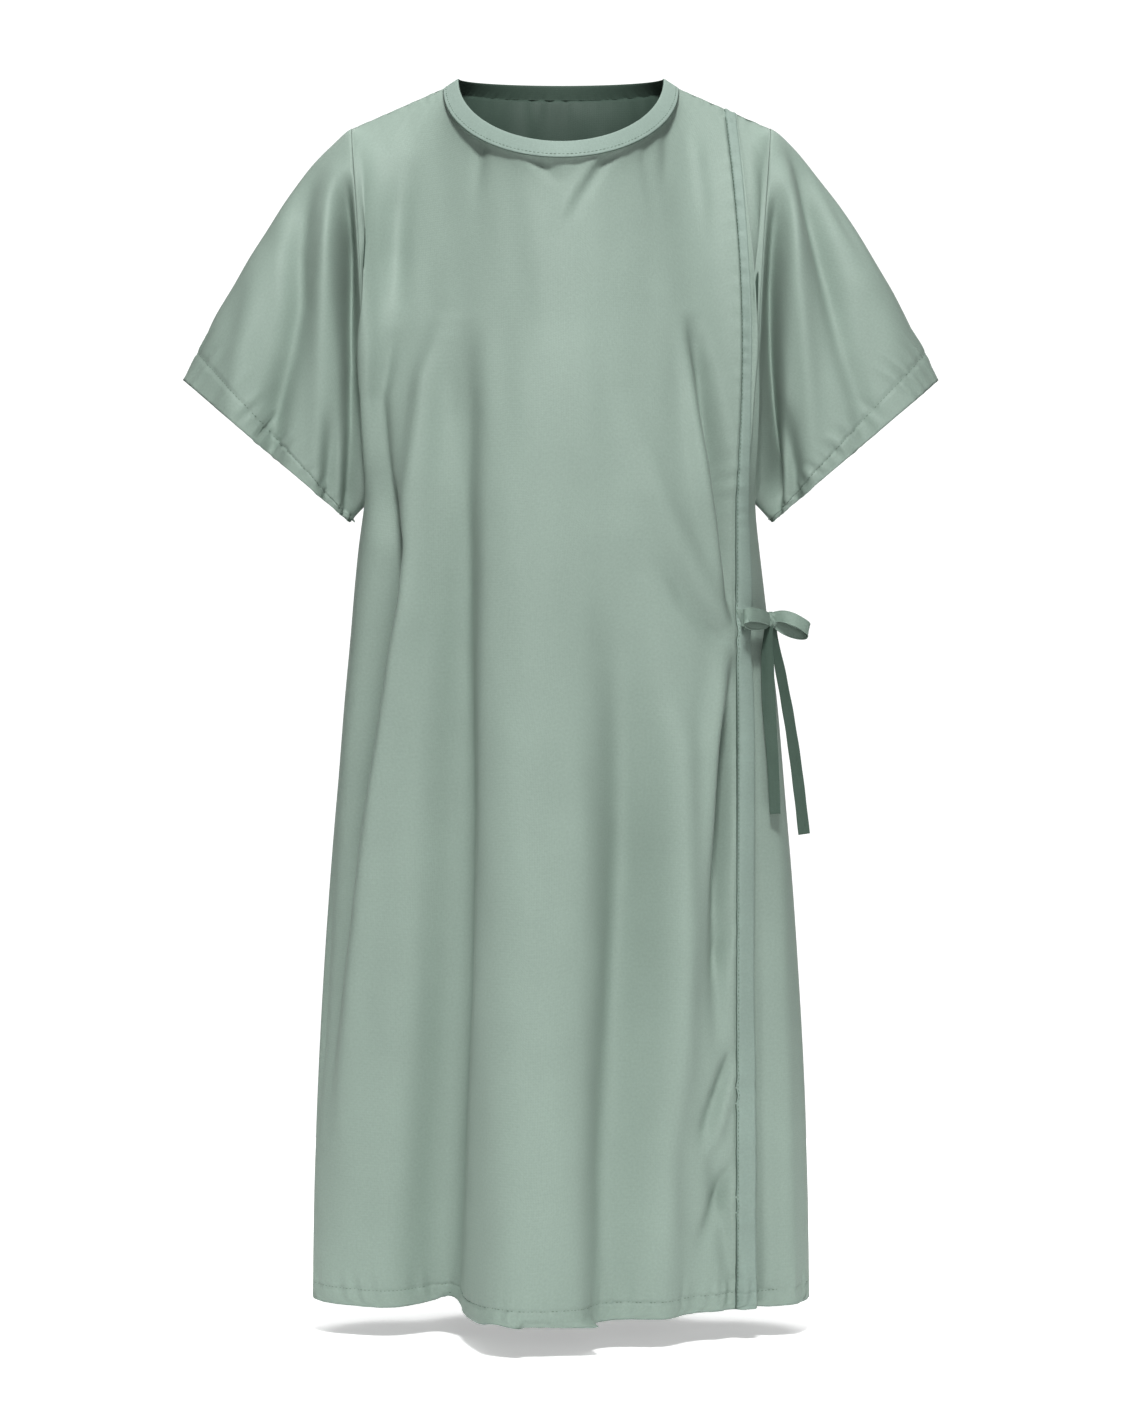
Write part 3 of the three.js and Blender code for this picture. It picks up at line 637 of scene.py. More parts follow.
UNDER_OUT = -3.0
HIDDEN_LIFT = 12  # the hidden part of the underlap's hem hangs this much higher


def under_out(u, v):
    beyond = (u - band_outer(v)) / (1 - band_outer(v))
    return UNDER_OUT * (1 - smooth(beyond, 0.35, 0.95)) * (1 - 0.85 * smooth(v, 0.95, 1.0))


UNDER_FOLDS = [
    ([(166, -60, 0), (172, -90, -1.5), (172, -140, -1.5), (168, -220, -1.5), (165, -330, -2),
      (163, -440, -2), (172, -520, -3), (176, -1100, -6)], 7, 6),
    ([(186, -500, 0), (190, -560, 3), (196, -700, 4), (202, -900, 4), (207, -1100, 4)], 8, 8),
    ([(172, -620, 0), (176, -700, -2), (178, -860, -2), (180, -1100, -3)], 6, 8),
]


def under_point(u, v, out):
    flat = front.at(u, v)
    shown = smooth(u - band_inner(v), 0.005, 0.03) * (1 - smooth(u, 0.93, 0.99))
    for path, left, right in UNDER_FOLDS:
        out = out + fold(flat[..., 0], flat[..., 2], path, left, right) * shown
    point = front.at(u, v, out)
    under_band = smooth(band_outer(v) - u, 0.0, 0.06)
    point[..., 2] += HIDDEN_LIFT * under_band * np.exp(-near_hem(v) / 90)
    return point


def under_place(i, j):
    v = crowded(j)
    edge = hidden_edge(v)
    u = edge + (1 - edge) * i
    return under_point(u, v, under_out(u, v) + panel_out(front, u, v, 5)), front.cut(u, v)


underlap = facing(sheet_object("underlap_front", 110, 200, under_place, cloth, inside_shade=inside_shade), FORWARD)
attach(underlap, "gown_body")
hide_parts("underlap_panel")


def back_place(i, j):
    v = crowded(j)
    return back.at(i, v, panel_out(back, i, v, 9)), back.cut(i, v)


back_piece = facing(sheet_object("back_cloth", 180, 190, back_place, cloth, inside_shade=inside_shade), BACKWARD)
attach(back_piece, "gown_body")
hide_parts("back_panel")
print("wrap front", len(wrap_front.data.polygons), "faces")

# %% [markdown]
# ## Sleeves
#
# A set-in sleeve is one cloth joined along the underarm. It is stretched here from the armhole to
# the cuff, with its crown bowed out and the folds that fall from the shoulder tip.

# %% Sleeve shape and folds
CUFF_TIP, CUFF_UNDER = (340.0, -271.0), (190.0, -399.0)
CUFF_DEPTH = 52.0
CROWN = 13.0
SLEEVE_HEM = 16.0
SLEEVE_FOLD_DEPTH = {"front": 1.65, "back": 0.6}
SLEEVE_FOLDS = {
    -1: [
        ([(212, -66, 0), (226, -95, -3), (232, -120, -6), (236, -160, -8), (234, -206, -9),
          (241, -250, -10), (251, -290, -13), (256, -320, -13), (262, -400, -9)], 12, 11),
        ([(200, -75, 0), (199, -110, 4), (206, -150, 6), (212, -200, 6), (214, -260, 5), (216, -330, 4),
          (216, -400, 3)], 13, 11),
        ([(192, -90, 0), (194, -115, -14), (192, -150, -24), (189, -200, -24), (185, -260, -16),
          (184, -320, -10), (186, -400, -8)], 8, 8),
        ([(205, -300, 0), (205, -330, -5), (207, -362, -7), (210, -400, -6)], 7, 7),
        ([(262, -150, 0), (272, -200, 3), (284, -250, 5), (292, -300, 5), (300, -400, 0)], 14, 13),
    ],
    1: [
        ([(204, -52, 0), (216, -87, -6), (225, -125, -10), (234, -170, -10), (243, -215, -8),
          (250, -250, -6), (266, -301, -5), (276, -400, -3)], 9, 12),
        ([(200, -72, 0), (203, -110, 4), (208, -160, 5), (214, -220, 5), (220, -290, 4),
          (226, -400, 2)], 11, 10),
        ([(196, -100, 0), (193, -130, -10), (188, -190, -20), (185, -250, -24), (184, -310, -24),
          (184, -360, -24), (184, -400, -14)], 8, 9),
        ([(196, -290, 0), (200, -320, -6), (205, -352, -8), (208, -400, -6)], 7, 8),
        ([(256, -130, 0), (276, -190, 3), (296, -240, 3), (310, -290, 2), (316, -400, 0)], 16, 18),
        ([(222, -60, 0), (240, -100, -3), (258, -140, -2), (276, -180, 0), (276, -400, 0)], 5, 6),
    ],
}


def sleeve_grid(side):
    along, around = np.meshgrid(np.linspace(0, 1, 91), np.linspace(0, 1, 181))
    turn = 2 * np.pi * around
    up = (1 - np.cos(turn)) / 2
    face = np.where(turn < np.pi, -1, 1)
    root = np.where((face < 0)[..., None], armhole(side, -1, up), armhole(side, 1, up))
    root[..., 0] += side * 0.3
    cuff = stack(side * mix(CUFF_UNDER[0], CUFF_TIP[0], up), -CUFF_DEPTH * np.sin(turn),
                 mix(CUFF_UNDER[1], CUFF_TIP[1], up))
    points = mix(root, cuff, along[..., None])
    crown = CROWN * np.sin(np.pi * along ** 0.7) * up ** 2
    points[..., 0] += side * 0.8 * crown
    points[..., 2] += 0.6 * crown
    x, z = np.abs(points[..., 0]), points[..., 2]
    front_share = smooth(np.sin(turn), 0.0, 0.45)
    back_share = smooth(-np.sin(turn), 0.0, 0.45)
    height = np.zeros_like(x)
    for path, left, right in SLEEVE_FOLDS[side]:
        height += SLEEVE_FOLD_DEPTH["front"] * fold(x, z, path, left, right) * front_share
    for path, left, right in SLEEVE_FOLDS[-side]:
        height += SLEEVE_FOLD_DEPTH["back"] * fold(x, z, path, left, right) * back_share
    height += unevenness(x, z, 31 + side, 45, 0.5)
    height *= smooth(along, 0, 0.035)
    points = points + outward_normals(points, side) * height[..., None]
    return relax(points, 2)


sleeves = {side: Surface(sleeve_grid(side), side) for side in (-1, 1)}


def cuff_puckers(surface, along, around, seed):
    cut = surface.cut(along, around)
    from_cuff = (1 - along) * surface.width
    drawn = 0.9 * np.exp(-((from_cuff - SLEEVE_HEM) / 1.6) ** 2)
    return puckers(cut[..., 1], from_cuff - SLEEVE_HEM, 15, 1.7, seed) - drawn


def crowd_end(t):
    return np.where(t < 0.8, t / 0.8 * 0.86, 0.86 + (t - 0.8) / 0.2 * 0.14)


def bends_with_sleeve(piece):
    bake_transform(piece)


for side, word in SIDES:
    surface = sleeves[side]

    def sleeve_place(i, j, surface=surface, side=side):
        along = crowd_end(i)
        return surface.at(along, j, cuff_puckers(surface, along, j, 40 + side)), surface.cut(along, j)

    sleeve = sheet_object(word + "_sleeve_cloth", 90, 200, sleeve_place, cloth)
    facing(sleeve, Vector((side, 0, 0.7)))
    bends_with_sleeve(sleeve)
    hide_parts(word + "_sleeve")
print("sleeve width", round(sleeves[1].width), "round", round(sleeves[1].height))

# %% [markdown]
# ## Hems
#
# A hem is the same cloth turned up inside and stitched. From outside only its stitches show, so each
# hem is a strip just inside the panel, joined to it round the folded edge. A strip is laid from a
# short list of places across it: how far from the edge, and how far out from the cloth.

# %% Strips laid along an edge
LAYER = 1.2


def across_section(section, i):
    distance = np.array(section, dtype=float)
    walk = np.linspace(0, 1, len(section))
    return np.interp(i, walk, distance[:, 0]), np.interp(i, walk, distance[:, 1])


HEM_SECTION = [(0, 0), (-0.4, -0.3), (-0.4, -0.8), (0, -1.1), (2, -LAYER), (5, -LAYER), (8, -LAYER),
               (11, -LAYER), (HEM_HEIGHT, -LAYER), (HEM_HEIGHT + 0.4, -0.8)]


def hem_strip(name, surface, edges, base, seed, towards, columns=300, at=None):
    def place(i, j):
        rise, out = across_section(HEM_SECTION, j)
        v = rise / near_hem(1.0)
        low, high = edges(np.clip(v, 0, 1))
        u = mix(low, high, i)
        point = (at or surface.at)(u, v, base(u, v) + out + panel_out(surface, u, v, seed))
        point[..., 2] += np.minimum(rise, 0)
        return point, surface.cut(u, v)

    return facing(sheet_object(name, columns, 18, place, edge_cloth), towards)


front_hem = hem_strip("front_turned_hem", front, lambda v: (0 * v, band_outer(v) - 0.003),
                      lambda u, v: 0 * u, 3, BACKWARD)
bends_with_flap(front_hem)
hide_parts("front_hem", "front_flap_hem")
underlap_hem = hem_strip("underlap_turned_hem", front, lambda v: (hidden_edge(v) + 0.01, 1 + 0 * v),
                         under_out, 5, BACKWARD, 160, under_point)
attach(underlap_hem, "gown_body")
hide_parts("underlap_hem")
back_hem = hem_strip("back_turned_hem", back, lambda v: (0 * v, 1 + 0 * v), lambda u, v: 0 * u, 9, FORWARD)
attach(back_hem, "gown_body")
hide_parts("back_hem")
print("hems:", [(hem.name, len(hem.data.polygons)) for hem in (front_hem, underlap_hem, back_hem)])

# %% [markdown]
# ## Front edge band
#
# The wrap's free edge is finished with a folded band, turned to the outside and stitched down along
# its inner edge. That leaves a thin sunk line on one side and a soft rounded fold on the other.

# %% The band, and its twin on the hidden edge
BAND_SECTION = [(0.2, 0.1), (0.5, 0.7), (1.2, 1.1), (3, 1.3), (6, 1.35), (9, 1.3), (11.4, 1.25), (12.4, 0.9),
                (12.8, 0.2), (12.6, -0.5), (11.6, -0.8), (9, -0.8), (6, -0.8)]


HIDDEN_BAND_OUT = -4.2


def band_strip(name, start, base, seed, turn, towards, at):
    def place(i, j):
        distance, out = across_section(BAND_SECTION, i)
        v = crowded(j)
        u = start(v) + turn * distance / BAND_SPEED
        along = front.cut(u, v)
        wave = 0.35 * puckers(along[..., 1], distance - 2, 9, 0.8, seed)
        return at(u, v, base(u, v) + out + wave + panel_out(front, u, v, 3, band=turn > 0)), along

    return facing(sheet_object(name, 26, 460, place, edge_cloth, 0.3), towards)


band = band_strip("front_edge_binding", band_inner, lambda u, v: 0 * u, 12, 1, FORWARD, front.at)
bends_with_flap(band)
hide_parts("front_edge_band_upper", "front_edge_band_lower")
hidden_band = band_strip("underlap_edge_binding", lambda v: hidden_edge(v) + 0.018,
                         lambda u, v: 0 * u + HIDDEN_BAND_OUT, 14, -1, BACKWARD, under_point)
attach(hidden_band, "gown_body")
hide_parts("underlap_edge_band")
print("bands:", len(band.data.polygons), "and", len(hidden_band.data.polygons), "faces")

# %% A painted shadow: a thin dark strip in the sunk line where the band is stitched down
def crease_place(i, j):
    v = crowded(j)
    u = band_inner(v) + mix(-0.55, 0.3, i) / front.width
    return front.at(u, v, 0.8 + panel_out(front, u, v, 3, band=True)), front.cut(u, v)


band_crease = facing(sheet_object("band_seam_painted_shadow", 2, 460, crease_place, crease, 0), FORWARD)
bends_with_flap(band_crease)

# %% [markdown]
# ## Neck binding
#
# The neck is bound with a bias strip folded over the raw edge, which lets it follow the curve and
# stand up a little. Its stitching draws the panel below into short gathers.

# %% Neck binding
BIND_HALF = 92.0
BIND_RISE = {"side": 8.0, -1: 13.0, 1: 12.0}
BIND_SECTION = [(-0.13, 0.1), (-0.12, 0.7), (-0.06, 0.85), (0.06, 0.8), (0.12, 0.75), (0.4, 0.85),
                (0.7, 0.8), (0.9, 0.7), (0.98, 0.45), (1.0, 0.0), (0.98, -0.4), (0.8, -0.7),
                (0.5, -0.8), (0.2, -0.8), (0.0, -0.8), (-0.1, -0.9)]


def neck_ring(turn):
    face = np.where(turn < np.pi, -1, 1)
    sweep = np.abs(np.sin(turn))
    depth = np.where(face < 0, NECK_DEPTH[-1], NECK_DEPTH[1])
    low = stack(-NECK_HALF * np.cos(turn), face * depth * sweep,
                -NECK_SIDE - np.where(face < 0, NECK_FRONT - NECK_SIDE, 0) * sweep)
    rise = mix(BIND_RISE["side"], np.where(face < 0, BIND_RISE[-1], BIND_RISE[1]), sweep)
    high = stack(-BIND_HALF * np.cos(turn), low[..., 1] * 0.96, low[..., 2] + rise)
    return low, high


def neck_normal(turn):
    low, high = neck_ring(turn)
    ahead, _ = neck_ring(turn + 0.004)
    behind, _ = neck_ring(turn - 0.004)
    normal = np.cross(ahead - behind, high - low)
    normal /= np.maximum(np.linalg.norm(normal, axis=-1, keepdims=True), 1e-9)
    centre = np.stack([low[..., 0] * 0, low[..., 1] * 0, low[..., 2] - 60], axis=-1)
    sign = np.sign(np.sum(normal * (low - centre), axis=-1, keepdims=True))
    return normal * sign


def binding_place(i, j):
    turn = 2 * np.pi * j
    share, out = across_section(BIND_SECTION, i)
    low, high = neck_ring(turn)
    ease = 0.18 * np.sin(turn * 37) * np.sin(turn * 5) + 0.12 * np.sin(turn * 83)
    out = out + ease * np.exp(-((share + 0.1) / 0.35) ** 2)
    point = mix(low, high, share[..., None]) + neck_normal(turn) * out[..., None]
    return point, np.stack([turn * 100, share * 14], axis=-1)


# a thin dark strip along the binding's lower edge: painted shadow of the sewn line
def neck_crease_place(i, j):
    turn = 2 * np.pi * j
    low, high = neck_ring(turn)
    share = mix(-0.19, -0.11, i)
    point = mix(low, high, share[..., None]) + neck_normal(turn) * mix(0.3, 0.55, i)[..., None]
    return point, np.stack([turn * 100, i], axis=-1)


neck_crease = sheet_object("neck_seam_painted_shadow", 2, 420, neck_crease_place, crease, 0)
facing(neck_crease, Vector((0, -1, 0.4)))
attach(neck_crease, "gown_body")
binding = sheet_object("neck_binding_tape", 34, 420, binding_place, edge_cloth, 0.25)
facing(binding, Vector((0, 0, 1)))
# the binding's faces turned in to the neck get the darker tape: painted shade
binding.data.materials.append(painted_shade_tape)
for face in binding.data.polygons:
    inside = Vector((0, 0, face.center.z + 0.02)) - face.center
    face.material_index = 1 if face.normal.dot(inside) > 0.004 else 0
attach(binding, "gown_body")
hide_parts("neck_binding")
print("neck binding:", len(binding.data.polygons), "faces")

# %% [markdown]
# ## Seams and sleeve hems
#
# The side and shoulder seams are sewn on the inside and their two layers of cloth lie flat to one
# side. They are seen only through the neck or from below, as a narrow strip along the seam.

# %% Side and shoulder seam strips
SEAM_SECTION = [(0.3, -0.3), (0.8, -1.0), (3, -1.3), (7, -1.3), (9.4, -1.2), (9.8, -0.6)]
for side, word in SIDES:
    def side_place(i, j, side=side):
        distance, out = across_section(SEAM_SECTION, i)
        v = mix(0.012, 0.49, j)
        u = distance / back.width
        u = u if side < 0 else 1 - u
        return back.at(u, v, out), back.cut(u, v)

    def shoulder_place(i, j, side=side):
        distance, out = across_section(SEAM_SECTION, i)
        v = 1 - distance / 190
        u = mix(0.02, NECK_SHARE - 0.01, j)
        u = u if side < 0 else 1 - u
        return back.at(u, v, out), back.cut(u, v)

    for kind, place, rows in (("side", side_place, 120), ("shoulder", shoulder_place, 40)):
        seam = sheet_object(f"{word}_{kind}_seam_allowance", 12, rows, place, edge_cloth)
        facing(seam, Vector((-side, -0.3, -0.5)))
        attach(seam, "gown_body")
        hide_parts(f"{word}_{kind}_seam")

# %% Sleeve hems, turned up inside the cuffs
for side, word in SIDES:
    surface = sleeves[side]

    def cuff_place(i, j, surface=surface, side=side):
        rise, out = across_section(HEM_SECTION, i)
        along = 1 - np.clip(rise, 0, None) * SLEEVE_HEM / HEM_HEIGHT / surface.width
        return surface.at(along, j, out + cuff_puckers(surface, along, j, 40 + side)), surface.cut(along, j)

    cuff = sheet_object(word + "_sleeve_turned_hem", 16, 220, cuff_place, edge_cloth)
    facing(cuff, Vector((-side, 0, -0.7)))
    bends_with_sleeve(cuff)
    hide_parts(word + "_sleeve_hem")

# %% [markdown]
# ## The tie
#
# Two tapes hold the wrap shut, one sewn to the front band and one to the left side seam. Each tape
# is a strip folded and stitched along both edges, so it is thin, flat and slightly hollow between
# its edges. A tape is a flat ring of points carried along a smooth line.

# %% A smooth line through chosen points
def smooth_line(points, count):
    p = np.array(points, dtype=float)
    p = np.vstack([2 * p[0] - p[1], p, 2 * p[-1] - p[-2]])
    steps = np.linspace(0, len(points) - 1, count)
    k = np.minimum(steps.astype(int), len(points) - 2)
    t = (steps - k)[:, None]
    a, b, c, d = p[k], p[k + 1], p[k + 2], p[k + 3]
    squared, cubed = 2 * a - 5 * b + 4 * c - d, 3 * b - a - 3 * c + d
    return 0.5 * (2 * b + (c - a) * t + squared * t ** 2 + cubed * t ** 3)


TAPE_THICK, TAPE_HOLLOW = 1.1, 0.25


def tape(name, line, width, wide, body, nodes, rows):
    line = np.array(line)
    steps = np.linspace(0, 1, len(line))
    walk = np.concatenate([[0], np.cumsum(np.linalg.norm(np.diff(line, axis=0), axis=1))])
    heading = np.gradient(line, axis=0)
    heading /= np.linalg.norm(heading, axis=1, keepdims=True)
    widths = np.interp(steps, np.linspace(0, 1, len(width)), width)
    stops, ways = np.linspace(0, 1, len(wide)), np.array(wide, dtype=float)
    wides = np.stack([np.interp(steps, stops, ways[:, k]) for k in range(3)], axis=1)
    wides -= heading * np.sum(wides * heading, axis=1, keepdims=True)
    wides /= np.linalg.norm(wides, axis=1, keepdims=True)
    faces = np.cross(heading, wides)

    def along(values, j):
        return np.stack([np.interp(j, steps, values[:, k]) for k in range(3)], axis=-1)

    def place(i, j):
        turn = 2 * np.pi * i
        c, s = np.cos(turn), np.sin(turn)
        flat = np.sign(c) * np.abs(c) ** 0.5
        half = np.interp(j, steps, widths) / 2
        dip = TAPE_HOLLOW * np.exp(-((np.abs(flat) - 0.72) / 0.12) ** 2)
        rise = np.sign(s) * (np.abs(s) ** 0.5 * TAPE_THICK / 2 - dip * (np.abs(s) > 0.3))
        ripple = 0.3 * np.sin(np.interp(j, steps, walk) / 5.5) * flat
        point = along(line, j) + along(wides, j) * (flat * half)[..., None]
        point = point + along(faces, j) * (rise + ripple)[..., None]
        return point, np.stack([flat * half, np.interp(j, steps, walk)], axis=-1)

    # the tails get the tape darkened with painted shade; loops, stubs and knot keep the tape's own colour
    piece = sheet_object(name, 28, rows, place, painted_shade_tape if "tail" in name else tie_cloth, 0)
    shape = bmesh.new()
    shape.from_mesh(piece.data)
    bmesh.ops.remove_doubles(shape, verts=shape.verts, dist=0.00001)
    bmesh.ops.holes_fill(shape, edges=[e for e in shape.edges if e.is_boundary])
    bmesh.ops.recalc_face_normals(shape, faces=shape.faces)
    shape.to_mesh(piece.data)
    shape.free()
    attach(piece, body)
    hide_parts(*nodes)
    return piece


knot_low, knot_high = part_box("tie_knot")
KNOT = np.array((knot_low + knot_high) / 2) / MM
NEAR_TAIL = [(-1.8, -1.6, -5.9), (-2.8, -3.2, -16), (-3.3, -4.4, -27), (-3.2, -5.1, -39), (-3.0, -5.8, -52),
             (-2.6, -6.4, -65), (-2.0, -7.0, -78), (-1.2, -7.6, -91), (-0.3, -8.2, -104), (0.6, -8.8, -116),
             (1.3, -9.3, -128), (1.9, -9.8, -140), (2.4, -10.3, -151), (2.8, -10.7, -162), (3.2, -11.1, -172)]
FAR_TAIL = [(1.2, 3.2, -5.2), (2.6, 6.2, -16), (5.1, 8.0, -27), (7.8, 9.4, -39), (10.4, 11.0, -52),
            (13.1, 12.4, -66), (15.7, 13.4, -80), (18.1, 14.4, -94), (20.3, 15.3, -108),
            (22.4, 16.2, -122), (24.3, 17.0, -136), (26.1, 17.8, -150), (27.8, 18.5, -164),
            (29.4, 19.2, -178), (30.9, 19.8, -191)]
NEAR_LOOP = [(-1.5, -2.5, -0.5), (-5.5, -8.4, -3), (-12.4, -19.6, -4), (-19, -28, -3.5),
             (-23.5, -33.5, -1.5), (-25, -37.5, 1), (-22.5, -39.5, 3), (-17.5, -36.5, 3.5),
             (-9, -24, 2.5), (-2.5, -8, 0.5), (-0.5, -2, 0)]
FAR_LOOP = [(1, -1, 1.5), (5.2, -3.4, 2.6), (12, -7, 2.5), (21, -8.5, -0.5), (29, -7, -5), (33, -3.5, -8.5),
            (31, 0.5, -12), (23, 3.4, -11.5), (13, 3, -8), (6, 1.6, -4), (1, 0, -1)]


def by_knot(points):
    return smooth_line(points, 160) + KNOT


def length_of(line):
    return float(np.linalg.norm(np.diff(line, axis=0), axis=1).sum()) * MM


for name, points, widths, wide in (
        ("near_tail", NEAR_TAIL, [8, 12, 12, 10.6, 10, 9.6],
         [(1, -0.6, 0), (1, -0.2, 0), (1, 0, 0), (1, 0.1, 0)]),
        ("far_tail", FAR_TAIL, [9, 10.6, 10.8, 11],
         [(1, 0.7, 0), (1, 0.5, 0), (1, 0.3, 0), (1, 0.3, 0)])):
    line = by_knot(points)
    tail = tape(name + "_tape", line, widths, wide, name + "_body", [name], 200)
    print(name, round(length_of(line), 4), "m")

# %% The two loops, standing on edge
UPRIGHT = (0, 0, 1)
tape("near_loop_tape", by_knot(NEAR_LOOP), [9, 12, 13, 13, 12.5, 9],
     [UPRIGHT, (0, 0.15, 1), (0.1, 0.1, 1), (0, 0.15, 1), UPRIGHT], "gown_body", ["near_loop"], 110)
tape("far_loop_tape", by_knot(FAR_LOOP), [9, 11.5, 12, 12, 9],
     [UPRIGHT, (0, 0.3, 1), (0.2, 0.3, 1), (0, 0.3, 1), UPRIGHT], "gown_body", ["far_loop"], 110)
print("loops:", round(length_of(by_knot(NEAR_LOOP)), 4), "and", round(length_of(by_knot(FAR_LOOP)), 4), "m")

# %% The stubs, from the band and from the side seam to the knot
low, high = [np.array(c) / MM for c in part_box("band_tie_stub")]
band_stub = smooth_line([(low[0] - 7, low[1] - 3.5, KNOT[2] - 0.5), (low[0], low[1] + 0.8, KNOT[2]),
                         (high[0] - 6, high[1] - 6, KNOT[2]), (high[0] + 1.5, high[1], KNOT[2])], 60)
tape("band_stub_tape", band_stub, [12, 11.5, 9, 6], [UPRIGHT, UPRIGHT], "gown_body", ["band_tie_stub"], 50)
low, high = [np.array(c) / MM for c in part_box("side_tie_stub")]
side_stub = smooth_line([(low[0] + 1, low[1] - 2, KNOT[2]), (low[0] + 2, -28, KNOT[2] - 1),
                         (high[0] - 1.2, -12, KNOT[2] - 1), (high[0] - 1, high[1] - 1, KNOT[2])], 60)
tape("side_stub_tape", side_stub, [7, 10, 11, 11], [UPRIGHT, UPRIGHT], "gown_body", ["side_tie_stub"], 50)
print("stubs:", round(length_of(band_stub), 4), "and", round(length_of(side_stub), 4), "m")

# %% The knot
KNOT_RADII = [6.6, 5.8, 7.2]
knot_mesh = bpy.data.meshes.new("knot_wrap")
shape = bmesh.new()
bmesh.ops.create_uvsphere(shape, u_segments=40, v_segments=28, radius=1.0)
shape.loops.layers.uv.new("UVMap")
shape.to_mesh(knot_mesh)
shape.free()
unit = np.empty(len(knot_mesh.vertices) * 3)
knot_mesh.vertices.foreach_get("co", unit)
unit = unit.reshape(-1, 3)
turn = np.arctan2(unit[:, 1], unit[:, 0])
wraps = 0.2 * np.abs(np.sin(2.5 * turn + 2.2 * unit[:, 2])) ** 4
groove = 0.1 * np.exp(-((unit[:, 2] - 0.55 * unit[:, 0]) / 0.12) ** 2)
swell = (1 - wraps - groove)[:, None]
knot_mesh.vertices.foreach_set("co", ((unit * swell * KNOT_RADII + KNOT) * MM).ravel())
knot_mesh.polygons.foreach_set("use_smooth", np.ones(len(knot_mesh.polygons), dtype=bool))
knot_mesh.materials.append(tie_cloth)
knot = bpy.data.objects.new("knot_wrap", knot_mesh)
bpy.context.collection.objects.link(knot)
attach(knot, "gown_body")
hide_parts("tie_knot")

# %% The patch that holds the tie to the band
tack_low, tack_high = [np.array(c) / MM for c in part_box("tie_tack")]
TACK_LEVEL = 0.425  # share of the front's height where the tie is
shares = np.linspace(0.5, 1, 300)
tack_x = front.at(shares, np.full(300, TACK_LEVEL))[:, 0]
tack_u = float(np.interp((tack_low[0] + tack_high[0]) / 2, tack_x, shares))


def tack_place(i, j):
    z = mix(tack_low[2], tack_high[2], j)
    v = (z + LENGTH) / (LENGTH - ARMPIT) / 2
    u = tack_u + (i - 0.5) * 8.5 / 400
    rim = np.minimum(np.minimum(i, 1 - i), np.minimum(j, 1 - j))
    return front.at(u, v, 1.6 + 0.8 * smooth(rim, 0, 0.16)), np.stack([i * 9, j * 18], axis=-1)


tack = facing(sheet_object("tie_tack_patch", 20, 30, tack_place, tie_cloth), FORWARD)
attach(tack, "gown_body")
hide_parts("tie_tack")
print("patch:", round(tack_u, 3), "of the way across the front")

# %% [markdown]
# ## Stitches
#
# Every seam that shows is a lockstitch in thread of the same green: short beads 3.7 mm apart, each
# sunk at its ends. They are small repeated beads laid along the same lines as the seams, with few
# faces each, because there are thousands of them. A seam's stitches move with the cloth they hold.

# %% Beads of thread along a line
bead = bpy.data.meshes.new("thread_bead")
shape = bmesh.new()
bmesh.ops.create_uvsphere(shape, u_segments=6, v_segments=4, radius=1.0)
bead_points = np.array([v.co[:] for v in shape.verts])
shape.to_mesh(bead)
shape.free()


SPACING, BEAD_LENGTH, BEAD_RADIUS = 3.7, 2.5, 0.34


def stitches(name, points, normals):
    walk = np.concatenate([[0], np.cumsum(np.linalg.norm(np.diff(points, axis=0), axis=1))])
    stops = np.arange(SPACING / 2, walk[-1], SPACING)
    ahead = np.gradient(points, axis=0)

    def pick(values):
        return np.stack([np.interp(stops, walk, values[:, k]) for k in range(3)], axis=1)

    x = pick(ahead)
    x /= np.linalg.norm(x, axis=1, keepdims=True)
    z = pick(normals)
    z -= x * np.sum(x * z, axis=1, keepdims=True)
    z /= np.linalg.norm(z, axis=1, keepdims=True)
    y = np.cross(z, x)
    shape = bmesh.new()
    for _ in stops:
        shape.from_mesh(bead)
    for face in shape.faces:
        face.smooth = True
    mesh = bpy.data.meshes.new(name)
    shape.to_mesh(mesh)
    shape.free()
    co = pick(points)[:, None] + bead_points[None, :, 0:1] * x[:, None] * BEAD_LENGTH / 2
    co = co + (bead_points[None, :, 1:2] * y[:, None] + bead_points[None, :, 2:3] * z[:, None]) * BEAD_RADIUS
    mesh.vertices.foreach_set("co", (co * MM).ravel())
    mesh.update()
    mesh.materials.append(thread)
    piece = bpy.data.objects.new(name, mesh)
    bpy.context.collection.objects.link(piece)
    return piece


def seam_line(surface, u, v, out):
    return surface.at(u, v, out), read(surface.normals, u, v)


# %% Stitches of the band and the hems
COUNT = 1400
v_line = np.linspace(0.004, 0.985, COUNT)
u_line = np.linspace(0.004, 1, COUNT)
u_band = band_inner(v_line) + 1.5 / front.width
out = 1.2 + panel_out(front, u_band, v_line, 3, band=True)
band_stitch = stitches("band_stitches", *seam_line(front, u_band, v_line, out))
bends_with_flap(band_stitch)
hem_v = np.full(COUNT, HEM_SHARE)
u_wrap = u_line * (band_inner(hem_v) - 0.004)
out = 0.1 + panel_out(front, u_wrap, hem_v, 3, band=True)
hem_stitch = stitches("front_hem_stitches", *seam_line(front, u_wrap, hem_v, out))
bends_with_flap(hem_stitch)
u_under = mix(band_outer(hem_v) - 0.05, 0.996, u_line)
out = 0.15 + under_out(u_under, hem_v) + panel_out(front, u_under, hem_v, 5)
under_stitch = stitches("underlap_hem_stitches", *seam_line(front, u_under, hem_v, out))
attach(under_stitch, "gown_body")
out = 0.15 + panel_out(back, u_line, hem_v, 9)
back_stitch = stitches("back_hem_stitches", *seam_line(back, u_line, hem_v, out))
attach(back_stitch, "gown_body")

